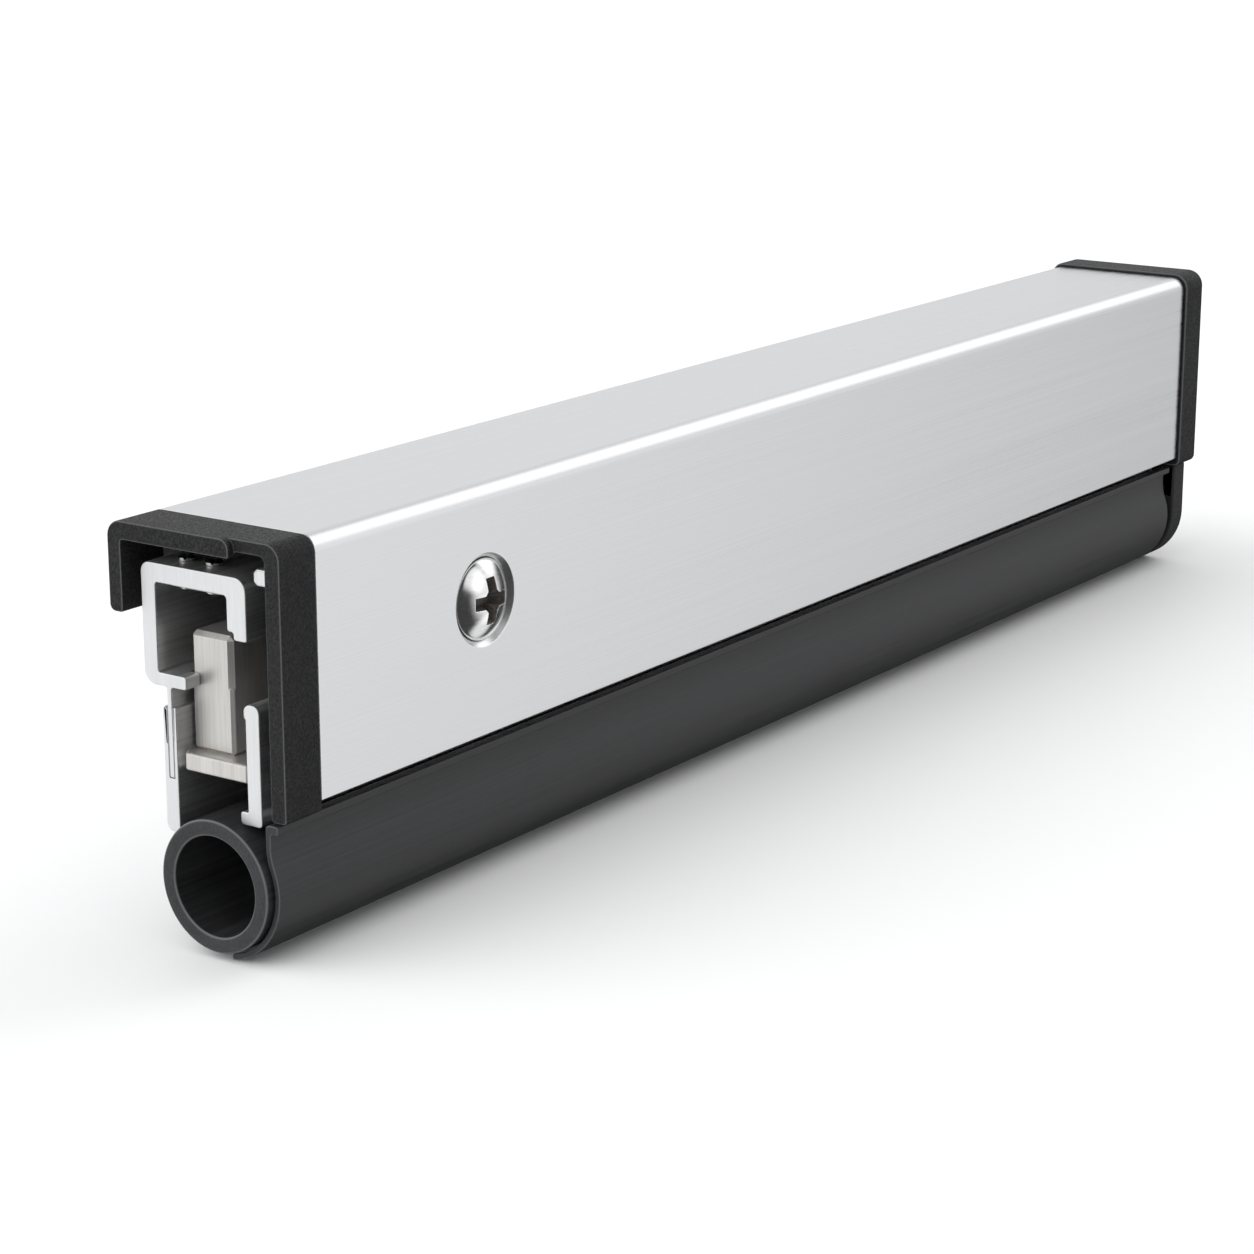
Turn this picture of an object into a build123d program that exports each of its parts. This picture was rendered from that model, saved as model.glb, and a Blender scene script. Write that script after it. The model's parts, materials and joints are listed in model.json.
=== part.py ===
# Automatic door bottom seal: a surface-mounted casing whose seal drops to the floor
# when the plunger at its far end is pushed in by the closing door.
#
# Frame, in millimetres: X runs along the seal, from the open near end to the plunger end.
# Y = 0 is the door's face, and the front of the casing looks along -Y. Z is up.
# The origin is midway between the two door fixing holes, on the door's face.
from build123d import *
from math import sqrt
import os

# Casing
case_length = 231.0
case_depth = 24.0
case_height = 30.0
case_wall = 1.3
case_corner = 1.9
case_back_leg = 10.4

# Rounds on the edges of drawn and moulded sections
fine_edge = 0.2
small_edge = 0.35
round_edge = 0.5

# End caps
near_cap_length = 7.0
near_cap_step = 1.0
near_cap_step_depth = 6.3
near_cap_step_corner = 1.2
near_cap_foot = 0.8
far_cap_length = 6.0
far_cap_proud = 0.6
far_cap_wall = 2.0
far_cap_rim = 2.5
far_cap_foot = 1.5
cap_leg = 2.1
cap_back_leg = 1.9
cap_arm_thick = 2.1
cap_arm_thin = 1.5
cap_below = 1.25
cap_tenon = 8.0
tenon_inset = 4.0
tenon_side_gap = 0.5
cap_fit = 0.1
key_share = 0.625
key_height = 1.9
key_below_top = 5.0
key_length = 12.5
key_chamfer = 0.45

# Guide rail, a C section with a thin tongue below it
rail_end_gap = 1.5
rail_depth = 15.3
rail_height = 14.0
rail_below_top = 4.5
rail_back_wall = 2.1
rail_front_wall = 2.8
rail_ceiling = 2.2
rail_floor = 1.5
rail_outer_corner = 1.6
rail_top_corner = 1.2
rail_front_drop = 7.1
rail_step = 0.9
rail_lip = 4.1
rail_tongue = 0.7
rail_tongue_set = 3.6
rail_tongue_bottom = 1.0
notch_gap = 0.5

# Drop bar: two aluminium walls held apart by steel cross plates
drop = 7.0
drop_wall = 2.0
drop_wall_leg_gap = 1.8
drop_wall_back_set = 2.5
drop_wall_front_gap = 7.0
drop_wall_rail_gap = 2.3
drop_wall_tube_gap = 0.13
drop_end_gap = 0.6
hook_reach = 1.1
hook_height = 1.5
bead_height = 1.5
bead_proud = 0.25
wall_round = 0.9
groove_width = 0.9
groove_floor_gap = 0.3
groove_lead = 0.35
plate_thick = 2.1
plate_bottom = 2.0
plate_length = 16.0
plate_tab = 8.0
plate_corner = 0.7
plate_end_gap = 0.6

# Guide block and lift blocks
block_width = 6.0
block_back_gap = 0.3
block_round = 0.4
block_gap = 0.15
near_block_length = 8.0
near_block_start = 3.9
near_block_under_wall = 0.6
near_block_bevel = 0.55
lift_block_length = 14.0
lift_block_under_ceiling = 2.7
lift_step = 19.0
cam_pin_radius = 1.25
cam_pin_set = 1.8

# Drive bar
bar_thick = 2.0
bar_top_gap = 0.7
bar_gap = 0.3
bar_side_gap = 0.2
bar_web = 1.15
bar_start = 48.0
bar_nose = 6.0
bar_nose_height = 3.0
bar_end_gap = 30.0
bar_tail = 12.0
bar_tail_below = 2.7
bar_corner = 1.0
slot_gap = 0.1
guide_pin_radius = 1.25
guide_pin_set = 2.7
guide_pin_step = 21.0
pin_chamfer = 0.2
access_radius = 4.1

# Plunger at the far end
plunger_set = 3.7
plunger_radius = 3.0
plunger_fit = 0.08
plunger_proud = 7.6
plunger_inside = 11.0
plunger_dome = 1.6
plunger_slot = 0.8
plunger_slot_depth = 1.0
boss_length = 8.0
boss_gap = 0.2
stem_radius = 2.0
stem_fit = 0.05
end_block_length = 12.0
end_block_width = 7.0
end_block_height = 7.0
end_block_round = 0.8
end_block_slot = 6.5
end_rivet_radius = 0.8
end_rivet_offset = 1.6
nut_across = 6.4
nut_thick = 3.0

# Return spring and its anchor
spring_radius = 1.6
spring_wire = 0.3
spring_turns = 9
anchor_thick = 0.5
anchor_width = 8.4
anchor_shift = 0.4
anchor_start = 2.9
anchor_tab_at = 18.5
anchor_tab_width = 5.0
anchor_tab_drop = 4.2
rod_radius = 0.9
rod_reach = 17.0
rod_seat = 3.0
rivet_at = 4.6
rivet_spread = 4.0
rivet_shift = 1.6
rivet_radius = 0.75
rivet_head_radius = 1.05
rivet_head = 0.5
rivet_head_taper = 20
rivet_slot = 0.4
rivet_slot_turn = 30

# Fasteners
screw_at = 37.0
screw_below_wall = 2.0
screw_radius = 2.5
screw_head_radius = 5.2
screw_recess_radius = 5.6
screw_dome = 1.3
screw_fit = 0.2
cross_width = 1.7
cross_span = 5.6
cross_hub = 2.5
cross_depth = 2.4
cross_taper = 9
screw_tip_chamfer = 0.5
spacer_radius = 4.8
cover_nut_across = 8.0
cover_nut_thick = 2.0
fixing_step = 18.5
fixing_radius = 2.25
pad_thick = 3.4
pad_length = 20.0
pad_height = 7.4
pad_corner = 1.2
pad_leg_gap = 0.7
pad_rivet_offset = 7.0
pad_rivet_radius = 1.0
pad_rivet_head_radius = 1.7
block_screw_radius = 1.5
block_screw_head = 2.8
block_screw_web = 1.7

# Rubber seal
tube_overhang = 0.65
tube_wall = 1.9
tube_below_case = 2.15
tube_forward = 1.3
tube_start = -0.3
foot_start = 18.0
foot_gap = 0.2
foot_rise = 1.1
skirt_thick = 0.7
skirt_gap = 0.25
skirt_start = 0.7
skirt_end_gap = 1.8
skirt_lip = 1.0
skirt_cap_gap = 0.3
skirt_neck_set = 1.1
skirt_neck_height = 2.4
skirt_wrap_start = 158.0
skirt_wrap = 260.0
plug_thick = 4.0
plug_end_gap = 0.2
plug_spigot = 12.0
plug_top_gap = 0.35
plug_edge = 0.4

os.makedirs("parts", exist_ok=True)


def across(distance):
    """Plane square to the length: local x is depth behind the front face, local y is height."""
    corner = (distance - case_length / 2, -case_depth, -fixing_height)
    return Plane(origin=corner, x_dir=(0, 1, 0), z_dir=(1, 0, 0))


def facing(depth):
    """Plane parallel to the front face: local x is distance from the near end, local y is height."""
    corner = (-case_length / 2, depth - case_depth, -fixing_height)
    return Plane(origin=corner, x_dir=(1, 0, 0), z_dir=(0, -1, 0))


def level(height):
    """Horizontal plane: local x is distance from the near end, local y is depth."""
    corner = (-case_length / 2, -case_depth, height - fixing_height)
    return Plane(origin=corner, x_dir=(1, 0, 0), z_dir=(0, 0, 1))


def finish(piece, name):
    """Label a finished piece and write it."""
    piece.part.label = name
    export_step(piece.part, f"parts/{name}.step")


# Housing levels. Heights are above the housing's lower edge, and all that hangs in it is set from
# its top; depths are set from the door's face, apart from the front drop wall
housing_start = near_cap_length
housing_end = case_length - far_cap_length
case_under = case_height - case_wall
leg_bottom = case_height - case_back_leg
fixing_height = leg_bottom - pad_leg_gap - pad_height / 2

# Rail levels and depths
rail_start = rail_end_gap
rail_length = housing_end - rail_start
rail_back = case_depth - pad_thick
rail_front = rail_back - rail_depth
rail_top = case_height - rail_below_top
rail_bottom = rail_top - rail_height
cavity_back = rail_back - rail_back_wall
cavity_front = rail_front + rail_front_wall
cavity_top = rail_top - rail_ceiling
cavity_floor = rail_bottom + rail_floor
front_wall_bottom = rail_top - rail_front_drop
rail_lip_end = cavity_back - rail_lip
rail_tongue_depth = rail_back - rail_tongue_set
key_width = (rail_front - cap_leg) * key_share
key_bottom = case_height - key_below_top

# Drop bar and tube
wall_start = rail_start
wall_end = housing_end - drop_end_gap
drop_front_face = cap_leg + drop_wall_leg_gap
drop_back_face = rail_back - drop_wall_back_set
inner_front = drop_front_face + drop_wall
inner_back = drop_back_face - drop_wall
tube_radius = (drop_back_face - drop_front_face) / 2 + tube_overhang
tube_bore = tube_radius - tube_wall
tube_centre_depth = (inner_front + inner_back) / 2 - tube_forward
tube_centre_height = -tube_radius - tube_below_case
wall_reach = tube_radius + drop_wall_tube_gap
hook_offset = tube_centre_depth - inner_front - hook_reach
drop_front_top = front_wall_bottom - drop_wall_front_gap
drop_back_top = rail_bottom - drop_wall_rail_gap
drop_front_bottom = tube_centre_height + sqrt(wall_reach**2 - hook_offset**2)
drop_back_bottom = tube_centre_height + sqrt(wall_reach**2 - (inner_back - tube_centre_depth) ** 2)
groove_bottom = rail_tongue_bottom - groove_floor_gap
plate_top = plate_bottom + plate_thick
plate_middle = plate_bottom + plate_thick / 2

# Places along the length
near_fixing = screw_at + fixing_step
fixing_places = [near_fixing, case_length - near_fixing]
near_lift = near_fixing + lift_step
lift_places = [near_lift, case_length - near_lift]
near_guide_pin = near_lift + guide_pin_step
guide_pin_places = [near_guide_pin, case_length - near_guide_pin]
pad_rivet_places = [place + side * pad_rivet_offset for place in fixing_places for side in (-1, 1)]
near_block_centre = near_block_start + near_block_length / 2
near_plate_centre = wall_start + plate_end_gap + plate_length / 2
far_plate_centre = wall_end - plate_end_gap - plate_length / 2
plate_centres = [near_plate_centre, lift_places[0], lift_places[1], far_plate_centre]

# Blocks, drive bar, plunger and spring
block_centre = inner_back - block_back_gap - block_width / 2
near_block_top = front_wall_bottom - near_block_under_wall
lift_block_top = cavity_top - lift_block_under_ceiling
cam_pin_height = lift_block_top - cam_pin_set
cam_slot_width = 2 * (cam_pin_radius + slot_gap)
guide_pin_height = cavity_top - guide_pin_set
bar_back = block_centre + bar_thick / 2
bar_top = cavity_top - bar_top_gap
bar_bottom = cam_pin_height - drop - cam_slot_width / 2 - bar_web
fork_floor = bar_bottom - bar_gap
block_screw_depth = fork_floor - plate_top - block_screw_web
nose_start = bar_start - bar_nose
bar_nose_bottom = bar_top - bar_nose_height
bar_end = housing_end - bar_end_gap
plunger_height = cavity_top - plunger_set
bar_tail_bottom = plunger_height - bar_tail_below
plunger_start = housing_end - plunger_inside
plunger_end = case_length + plunger_proud
end_block_start = bar_end - end_block_slot
end_block_end = end_block_start + end_block_length
end_rivet_middle = end_block_start + end_block_slot / 2
end_rivet_places = [end_rivet_middle - end_rivet_offset, end_rivet_middle + end_rivet_offset]
spring_height = bar_top - bar_nose_height / 2
rivet_middle = block_centre + rivet_shift
rivet_depths = [rivet_middle - rivet_spread / 2, rivet_middle + rivet_spread / 2]
screw_height = front_wall_bottom - screw_below_wall

# Skirt and plug
skirt_inner = tube_radius + skirt_gap
skirt_middle = skirt_inner + skirt_thick / 2
skirt_outer = skirt_inner + skirt_thick
skirt_neck = tube_centre_depth - skirt_middle + skirt_neck_set
skirt_lip_front = skirt_neck - skirt_lip
skirt_lip_top = -cap_below - skirt_cap_gap
plug_end = case_length - plug_end_gap
plug_start = plug_end - plug_thick

# Housing cover: one section with a full front, a top and a short back leg
case_inner_corner = case_corner - case_wall
with BuildPart() as housing_cover:
    with BuildSketch(across(housing_start)):
        with BuildLine():
            FilletPolyline(
                (0, 0),
                (0, case_height),
                (case_depth, case_height),
                (case_depth, leg_bottom),
                (case_depth - case_wall, leg_bottom),
                (case_depth - case_wall, case_under),
                (case_wall, case_under),
                (case_wall, 0),
                radius=(fine_edge, case_corner, case_corner, small_edge, small_edge,
                        case_inner_corner, case_inner_corner, fine_edge),
                close=True,
            )
        make_face()
    extrude(amount=housing_end - housing_start)
    # Countersink for the cover screw
    with BuildSketch(facing(0)):
        with Locations((screw_at, screw_height)):
            Circle(screw_recess_radius)
    extrude(amount=-case_wall, taper=45, mode=Mode.SUBTRACT)
finish(housing_cover, "housing_cover")

# Near end cap: an open frame, its back part proud by a step, with a thin tenon inside the housing
arm_under = case_height - cap_arm_thick
thin_arm_under = case_height - cap_arm_thin
back_leg_inner = case_depth - cap_back_leg
tenon_outer = case_wall + cap_fit
with BuildPart() as near_end_cap:
    with BuildSketch(across(near_cap_step)):
        with BuildLine():
            FilletPolyline(
                (0, -cap_below),
                (0, case_height),
                (case_depth, case_height),
                (case_depth, leg_bottom),
                (back_leg_inner, leg_bottom),
                (back_leg_inner, arm_under),
                (near_cap_step_depth, arm_under),
                (near_cap_step_depth, thin_arm_under),
                (cap_leg, thin_arm_under),
                (cap_leg, -cap_below),
                radius=(round_edge, case_corner, case_corner, near_cap_foot, small_edge, small_edge,
                        fine_edge, fine_edge, small_edge, small_edge),
                close=True,
            )
        make_face()
    extrude(amount=near_cap_length - near_cap_step)
    with BuildSketch(across(0)):
        with BuildLine():
            FilletPolyline(
                (near_cap_step_depth, arm_under),
                (near_cap_step_depth, case_height),
                (case_depth, case_height),
                (case_depth, leg_bottom),
                (back_leg_inner, leg_bottom),
                (back_leg_inner, arm_under),
                radius=(0, near_cap_step_corner, case_corner, near_cap_foot, small_edge, small_edge),
                close=True,
            )
        make_face()
    extrude(amount=near_cap_step)
    # The tenon is a front strip and a top strip
    with BuildSketch(across(near_cap_length)):
        with Locations(((tenon_outer + cap_leg) / 2, case_height / 2)):
            Rectangle(cap_leg - tenon_outer, case_height - 2 * tenon_inset)
        with Locations(((near_cap_step_depth + back_leg_inner) / 2,
                        (arm_under + case_height - tenon_outer) / 2)):
            Rectangle(back_leg_inner - near_cap_step_depth - 2 * tenon_side_gap,
                      cap_arm_thick - tenon_outer)
    extrude(amount=cap_tenon)
finish(near_end_cap, "near_end_cap")

# Cap key: a small aluminium bar bonded in the corner of the near cap, against its front leg
with BuildPart() as cap_key:
    with BuildSketch(across(rail_start)):
        with Locations((cap_leg + key_width / 2, key_bottom + key_height / 2)):
            key_face = Rectangle(key_width, key_height)
        chamfer(key_face.vertices().sort_by(Axis.X)[-2:], key_chamfer)
    extrude(amount=key_length)
finish(cap_key, "cap_key")

# Far end cap: a moulded plate, proud of the housing, with a boss that fills the rail's cavity
# and carries the plunger
boss_low = cavity_floor + boss_gap
boss_high = cavity_top - boss_gap
boss_front = cavity_front + boss_gap
boss_back = cavity_back - boss_gap
with BuildPart() as far_end_cap:
    with BuildSketch(across(housing_end)):
        with BuildLine():
            FilletPolyline(
                (-far_cap_proud, -cap_below),
                (-far_cap_proud, case_height + far_cap_proud),
                (case_depth, case_height + far_cap_proud),
                (case_depth, -cap_below),
                radius=(round_edge, case_corner + far_cap_proud, case_corner, far_cap_foot),
                close=True,
            )
        make_face()
    extrude(amount=far_cap_length)
    outer_face = far_end_cap.faces().sort_by(Axis.X)[-1]
    fillet(outer_face.edges(), small_edge)
    # Moulded recess behind the plate
    with BuildSketch(across(housing_end)):
        with Locations((case_depth / 2, case_height / 2)):
            Rectangle(case_depth - 2 * far_cap_rim, case_height - 2 * far_cap_rim)
    extrude(amount=far_cap_length - far_cap_wall, mode=Mode.SUBTRACT)
    with BuildSketch(across(housing_end - boss_length)):
        with Locations(((boss_front + boss_back) / 2, (boss_low + boss_high) / 2)):
            RectangleRounded(boss_back - boss_front, boss_high - boss_low, round_edge)
    extrude(amount=boss_length + far_cap_length - far_cap_wall)
    with BuildSketch(across(housing_end)):
        with Locations(((rail_front + rail_back) / 2, (boss_low + rail_top) / 2)):
            Rectangle(rail_back - rail_front, rail_top - boss_low)
    extrude(amount=far_cap_length - far_cap_wall)
    # Bore for the plunger
    with BuildSketch(across(housing_end - boss_length)):
        with Locations((block_centre, plunger_height)):
            Circle(plunger_radius + plunger_fit)
    extrude(amount=boss_length + far_cap_length, mode=Mode.SUBTRACT)
finish(far_end_cap, "far_end_cap")

# Guide rail: back wall, ceiling, short front wall, floor lip and the tongue under the back wall
tongue_front = rail_tongue_depth - rail_tongue / 2
tongue_back = rail_tongue_depth + rail_tongue / 2
window_back = block_centre + block_width / 2 + 2 * block_gap
notch_top = plate_top + notch_gap
with BuildPart() as guide_rail:
    with BuildSketch(across(rail_start)):
        with BuildLine():
            FilletPolyline(
                (rail_back, rail_bottom),
                (rail_back, rail_top),
                (rail_front, rail_top),
                (rail_front, front_wall_bottom),
                (cavity_front - rail_step, front_wall_bottom),
                (cavity_front - rail_step, front_wall_bottom + rail_step),
                (cavity_front, front_wall_bottom + rail_step),
                (cavity_front, cavity_top),
                (cavity_back, cavity_top),
                (cavity_back, cavity_floor),
                (rail_lip_end, cavity_floor),
                (rail_lip_end, rail_bottom),
                (tongue_front, rail_bottom),
                (tongue_front, rail_tongue_bottom),
                (tongue_back, rail_tongue_bottom),
                (tongue_back, rail_bottom),
                radius=(rail_outer_corner, rail_top_corner, rail_outer_corner, small_edge,
                        small_edge, small_edge, small_edge, round_edge,
                        small_edge, small_edge, small_edge, small_edge,
                        small_edge, fine_edge, fine_edge, small_edge),
                close=True,
            )
        make_face()
    extrude(amount=rail_length)
    # Windows in the lip for the blocks, whose ends guide them up and down
    with BuildSketch(level(rail_bottom)):
        with Locations((near_block_centre, (block_centre + window_back) / 2)):
            Rectangle(near_block_length + 2 * block_gap, window_back - block_centre)
        with Locations([(place, (block_centre + window_back) / 2) for place in lift_places]):
            Rectangle(lift_block_length + 2 * block_gap, window_back - block_centre)
    extrude(amount=rail_floor, mode=Mode.SUBTRACT)
    # Notches that keep the tongue clear of the plate tabs
    with BuildSketch(facing(tongue_back + notch_gap)):
        with Locations([(centre, notch_top / 2) for centre in plate_centres]):
            Rectangle(plate_tab + 2 * notch_gap, notch_top)
    extrude(amount=rail_tongue + 2 * notch_gap, mode=Mode.SUBTRACT)
    # Holes through the back wall: cover screw, door fixings, pad rivets
    with BuildSketch(facing(rail_back)):
        with Locations((screw_at, screw_height)):
            Circle(screw_radius + screw_fit)
        with Locations([(place, fixing_height) for place in fixing_places]):
            Circle(fixing_radius)
        with Locations([(place, fixing_height) for place in pad_rivet_places]):
            Circle(pad_rivet_radius)
    extrude(amount=rail_back_wall, mode=Mode.SUBTRACT)
    # The cover screw nicks the lower edge of the front wall
    with BuildSketch(facing(cavity_front)):
        with Locations((screw_at, screw_height)):
            Circle(screw_radius + screw_fit)
    extrude(amount=rail_front_wall, mode=Mode.SUBTRACT)
    # Cross holes for the guide pins and holes for the anchor rivets
    with BuildSketch(facing(rail_back)):
        with Locations([(place, guide_pin_height) for place in guide_pin_places]):
            Circle(guide_pin_radius)
    extrude(amount=rail_back - rail_front, mode=Mode.SUBTRACT)
    with BuildSketch(level(rail_top)):
        with Locations([(rivet_at, depth) for depth in rivet_depths]):
            Circle(rivet_radius)
    extrude(amount=-rail_ceiling, mode=Mode.SUBTRACT)
finish(guide_rail, "guide_rail")

# Bar guide pins: two dowels across the rail that carry the drive bar
with BuildPart() as bar_guide_pins:
    with BuildSketch(facing(rail_back)):
        with Locations([(place, guide_pin_height) for place in guide_pin_places]):
            Circle(guide_pin_radius)
    extrude(amount=rail_back - rail_front)
    chamfer(bar_guide_pins.edges().filter_by(GeomType.CIRCLE), pin_chamfer)
finish(bar_guide_pins, "bar_guide_pins")

# Mounting pads: spacers behind the rail that stand against the door, one at each fixing
for index, place in enumerate(fixing_places):
    with BuildPart() as mounting_pad:
        with BuildSketch(facing(case_depth)):
            with Locations((place, fixing_height)):
                RectangleRounded(pad_length, pad_height, pad_corner)
                Circle(fixing_radius, mode=Mode.SUBTRACT)
            with Locations([(place + side * pad_rivet_offset, fixing_height) for side in (-1, 1)]):
                Circle(pad_rivet_radius, mode=Mode.SUBTRACT)
        extrude(amount=case_depth - rail_back)
    finish(mounting_pad, ("near_mounting_pad", "far_mounting_pad")[index])

# Pad rivets: flush with the door side, with low heads inside the rail
with BuildPart() as pad_rivets:
    with BuildSketch(facing(case_depth)):
        with Locations([(place, fixing_height) for place in pad_rivet_places]):
            Circle(pad_rivet_radius)
    extrude(amount=case_depth - cavity_back)
    with BuildSketch(facing(cavity_back)):
        with Locations([(place, fixing_height) for place in pad_rivet_places]):
            Circle(pad_rivet_head_radius)
    extrude(amount=rivet_head, taper=rivet_head_taper)
finish(pad_rivets, "pad_rivets")

# Cover screw: raised countersunk head with a cross recess, through to the nut behind the rail
screw_tip = rail_back + cover_nut_thick
head_cone = screw_head_radius - screw_radius
with BuildPart() as cover_screw:
    with BuildSketch(facing(0)):
        with Locations((screw_at, screw_height)):
            Circle(screw_head_radius)
    extrude(amount=-head_cone, taper=45)
    with BuildSketch(facing(0)):
        with Locations((screw_at, screw_height)):
            Circle(screw_radius)
    extrude(amount=-screw_tip)
    dome_radius = (screw_head_radius**2 + screw_dome**2) / (2 * screw_dome)
    with BuildSketch(Plane(origin=facing(0).from_local_coords((screw_at, screw_height, 0)),
                           x_dir=(1, 0, 0), z_dir=(0, 0, 1))):
        with BuildLine():
            RadiusArc((screw_head_radius, 0), (0, -screw_dome), dome_radius)
            Line((0, -screw_dome), (0, 0))
            Line((0, 0), (screw_head_radius, 0))
        make_face()
    revolve(axis=Axis(facing(0).from_local_coords((screw_at, screw_height, 0)), (0, 1, 0)))
    with BuildSketch(facing(-screw_dome)):
        with Locations((screw_at, screw_height)):
            Rectangle(cross_width, cross_span)
            Rectangle(cross_span, cross_width)
            Rectangle(cross_hub, cross_hub, rotation=45)
    extrude(amount=-cross_depth, taper=cross_taper, mode=Mode.SUBTRACT)
    tip_edge = cover_screw.edges().filter_by(GeomType.CIRCLE).sort_by(Axis.Y)[-1]
    chamfer(tip_edge, screw_tip_chamfer)
finish(cover_screw, "cover_screw")

# Screw spacer: a bush between the housing's front and the rail, countersunk for the screw's head
spacer_sink = screw_head_radius - case_wall + screw_fit
with BuildPart() as screw_spacer:
    with BuildSketch(facing(rail_front)):
        with Locations((screw_at, screw_height)):
            Circle(spacer_radius)
            Circle(screw_radius + screw_fit, mode=Mode.SUBTRACT)
    extrude(amount=rail_front - case_wall)
    with BuildSketch(facing(case_wall)):
        with Locations((screw_at, screw_height)):
            Circle(spacer_sink)
    extrude(amount=screw_radius + screw_fit - spacer_sink, taper=45, mode=Mode.SUBTRACT)
finish(screw_spacer, "screw_spacer")

# Cover nut: a thin hexagon nut held on the back of the rail
with BuildPart() as cover_nut:
    with BuildSketch(facing(rail_back + cover_nut_thick)):
        with Locations((screw_at, screw_height)):
            RegularPolygon(cover_nut_across / 2, 6, major_radius=False)
            Circle(screw_radius + stem_fit, mode=Mode.SUBTRACT)
    extrude(amount=cover_nut_thick)
finish(cover_nut, "cover_nut")

# Spring anchor: a thin strip under the rail's ceiling, bent down where the spring pushes
with BuildPart() as spring_anchor:
    with BuildSketch(level(cavity_top)):
        with Locations(((anchor_start + anchor_tab_at) / 2, block_centre + anchor_shift)):
            Rectangle(anchor_tab_at - anchor_start, anchor_width)
        with Locations([(rivet_at, depth) for depth in rivet_depths]):
            Circle(rivet_radius, mode=Mode.SUBTRACT)
    extrude(amount=-anchor_thick)
    with BuildSketch(across(anchor_tab_at - anchor_thick)):
        with Locations((block_centre, cavity_top - anchor_tab_drop / 2)):
            Rectangle(anchor_tab_width, anchor_tab_drop)
        with Locations((block_centre, spring_height)):
            Circle(rod_radius + 2 * slot_gap, mode=Mode.SUBTRACT)
    extrude(amount=anchor_thick)
finish(spring_anchor, "spring_anchor")

# Anchor rivets: two slotted heads on top of the rail, spread under the anchor
with BuildPart() as anchor_rivets:
    with BuildSketch(level(rail_top)):
        with Locations([(rivet_at, depth) for depth in rivet_depths]):
            Circle(rivet_radius)
    extrude(amount=-(rail_ceiling + anchor_thick + rivet_head))
    with BuildSketch(level(rail_top)):
        with Locations([(rivet_at, depth) for depth in rivet_depths]):
            Circle(rivet_head_radius)
    extrude(amount=rivet_head, taper=rivet_head_taper)
    with BuildSketch(level(cavity_top - anchor_thick)):
        with Locations([(rivet_at, depth) for depth in rivet_depths]):
            Circle(rivet_head_radius)
    extrude(amount=-rivet_head, taper=rivet_head_taper)
    with BuildSketch(level(rail_top + rivet_head)):
        with Locations([(rivet_at, depth) for depth in rivet_depths]):
            Rectangle(2 * rivet_head_radius, rivet_slot, rotation=rivet_slot_turn)
    extrude(amount=-rivet_head / 2, mode=Mode.SUBTRACT)
finish(anchor_rivets, "anchor_rivets")

# Back drop wall: a flat bar with a deep groove for the rail's tongue and slots for the plate tabs
with BuildPart() as back_drop_wall:
    with BuildSketch(across(wall_start)):
        with BuildLine():
            FilletPolyline(
                (inner_back, drop_back_bottom),
                (inner_back, drop_back_top),
                (rail_tongue_depth - groove_width / 2 - groove_lead / 4, drop_back_top),
                (rail_tongue_depth - groove_width / 2, drop_back_top - groove_lead),
                (rail_tongue_depth - groove_width / 2, groove_bottom),
                (rail_tongue_depth + groove_width / 2, groove_bottom),
                (rail_tongue_depth + groove_width / 2, drop_back_top - groove_lead),
                (rail_tongue_depth + groove_width / 2 + groove_lead, drop_back_top),
                (drop_back_face, drop_back_top),
                (drop_back_face, drop_back_bottom),
                radius=(round_edge, fine_edge, 0, 0, fine_edge, fine_edge, 0, 0, fine_edge, wall_round),
                close=True,
            )
        make_face()
    extrude(amount=wall_end - wall_start)
    with BuildSketch(facing(drop_back_face)):
        with Locations([(centre, plate_middle) for centre in plate_centres]):
            Rectangle(plate_tab + 2 * stem_fit, plate_thick + 2 * stem_fit)
    extrude(amount=drop_wall, mode=Mode.SUBTRACT)
finish(back_drop_wall, "back_drop_wall")

# Front drop wall: a beaded top edge, a hook along the bottom and slots for the plate tabs
with BuildPart() as front_drop_wall:
    with BuildSketch(across(wall_start)):
        with BuildLine():
            FilletPolyline(
                (drop_front_face, drop_front_bottom),
                (drop_front_face, drop_front_top),
                (inner_front + bead_proud, drop_front_top),
                (inner_front + bead_proud, drop_front_top - bead_height),
                (inner_front, drop_front_top - bead_height - bead_proud),
                (inner_front, drop_front_bottom + hook_height),
                (inner_front + hook_reach, drop_front_bottom + hook_height),
                (inner_front + hook_reach, drop_front_bottom),
                radius=(round_edge, wall_round, wall_round, 0, 0, fine_edge, small_edge, round_edge),
                close=True,
            )
        make_face()
    extrude(amount=wall_end - wall_start)
    with BuildSketch(facing(inner_front)):
        with Locations([(centre, plate_middle) for centre in plate_centres]):
            Rectangle(plate_tab + 2 * stem_fit, plate_thick + 2 * stem_fit)
    extrude(amount=drop_wall, mode=Mode.SUBTRACT)
finish(front_drop_wall, "front_drop_wall")

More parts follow.
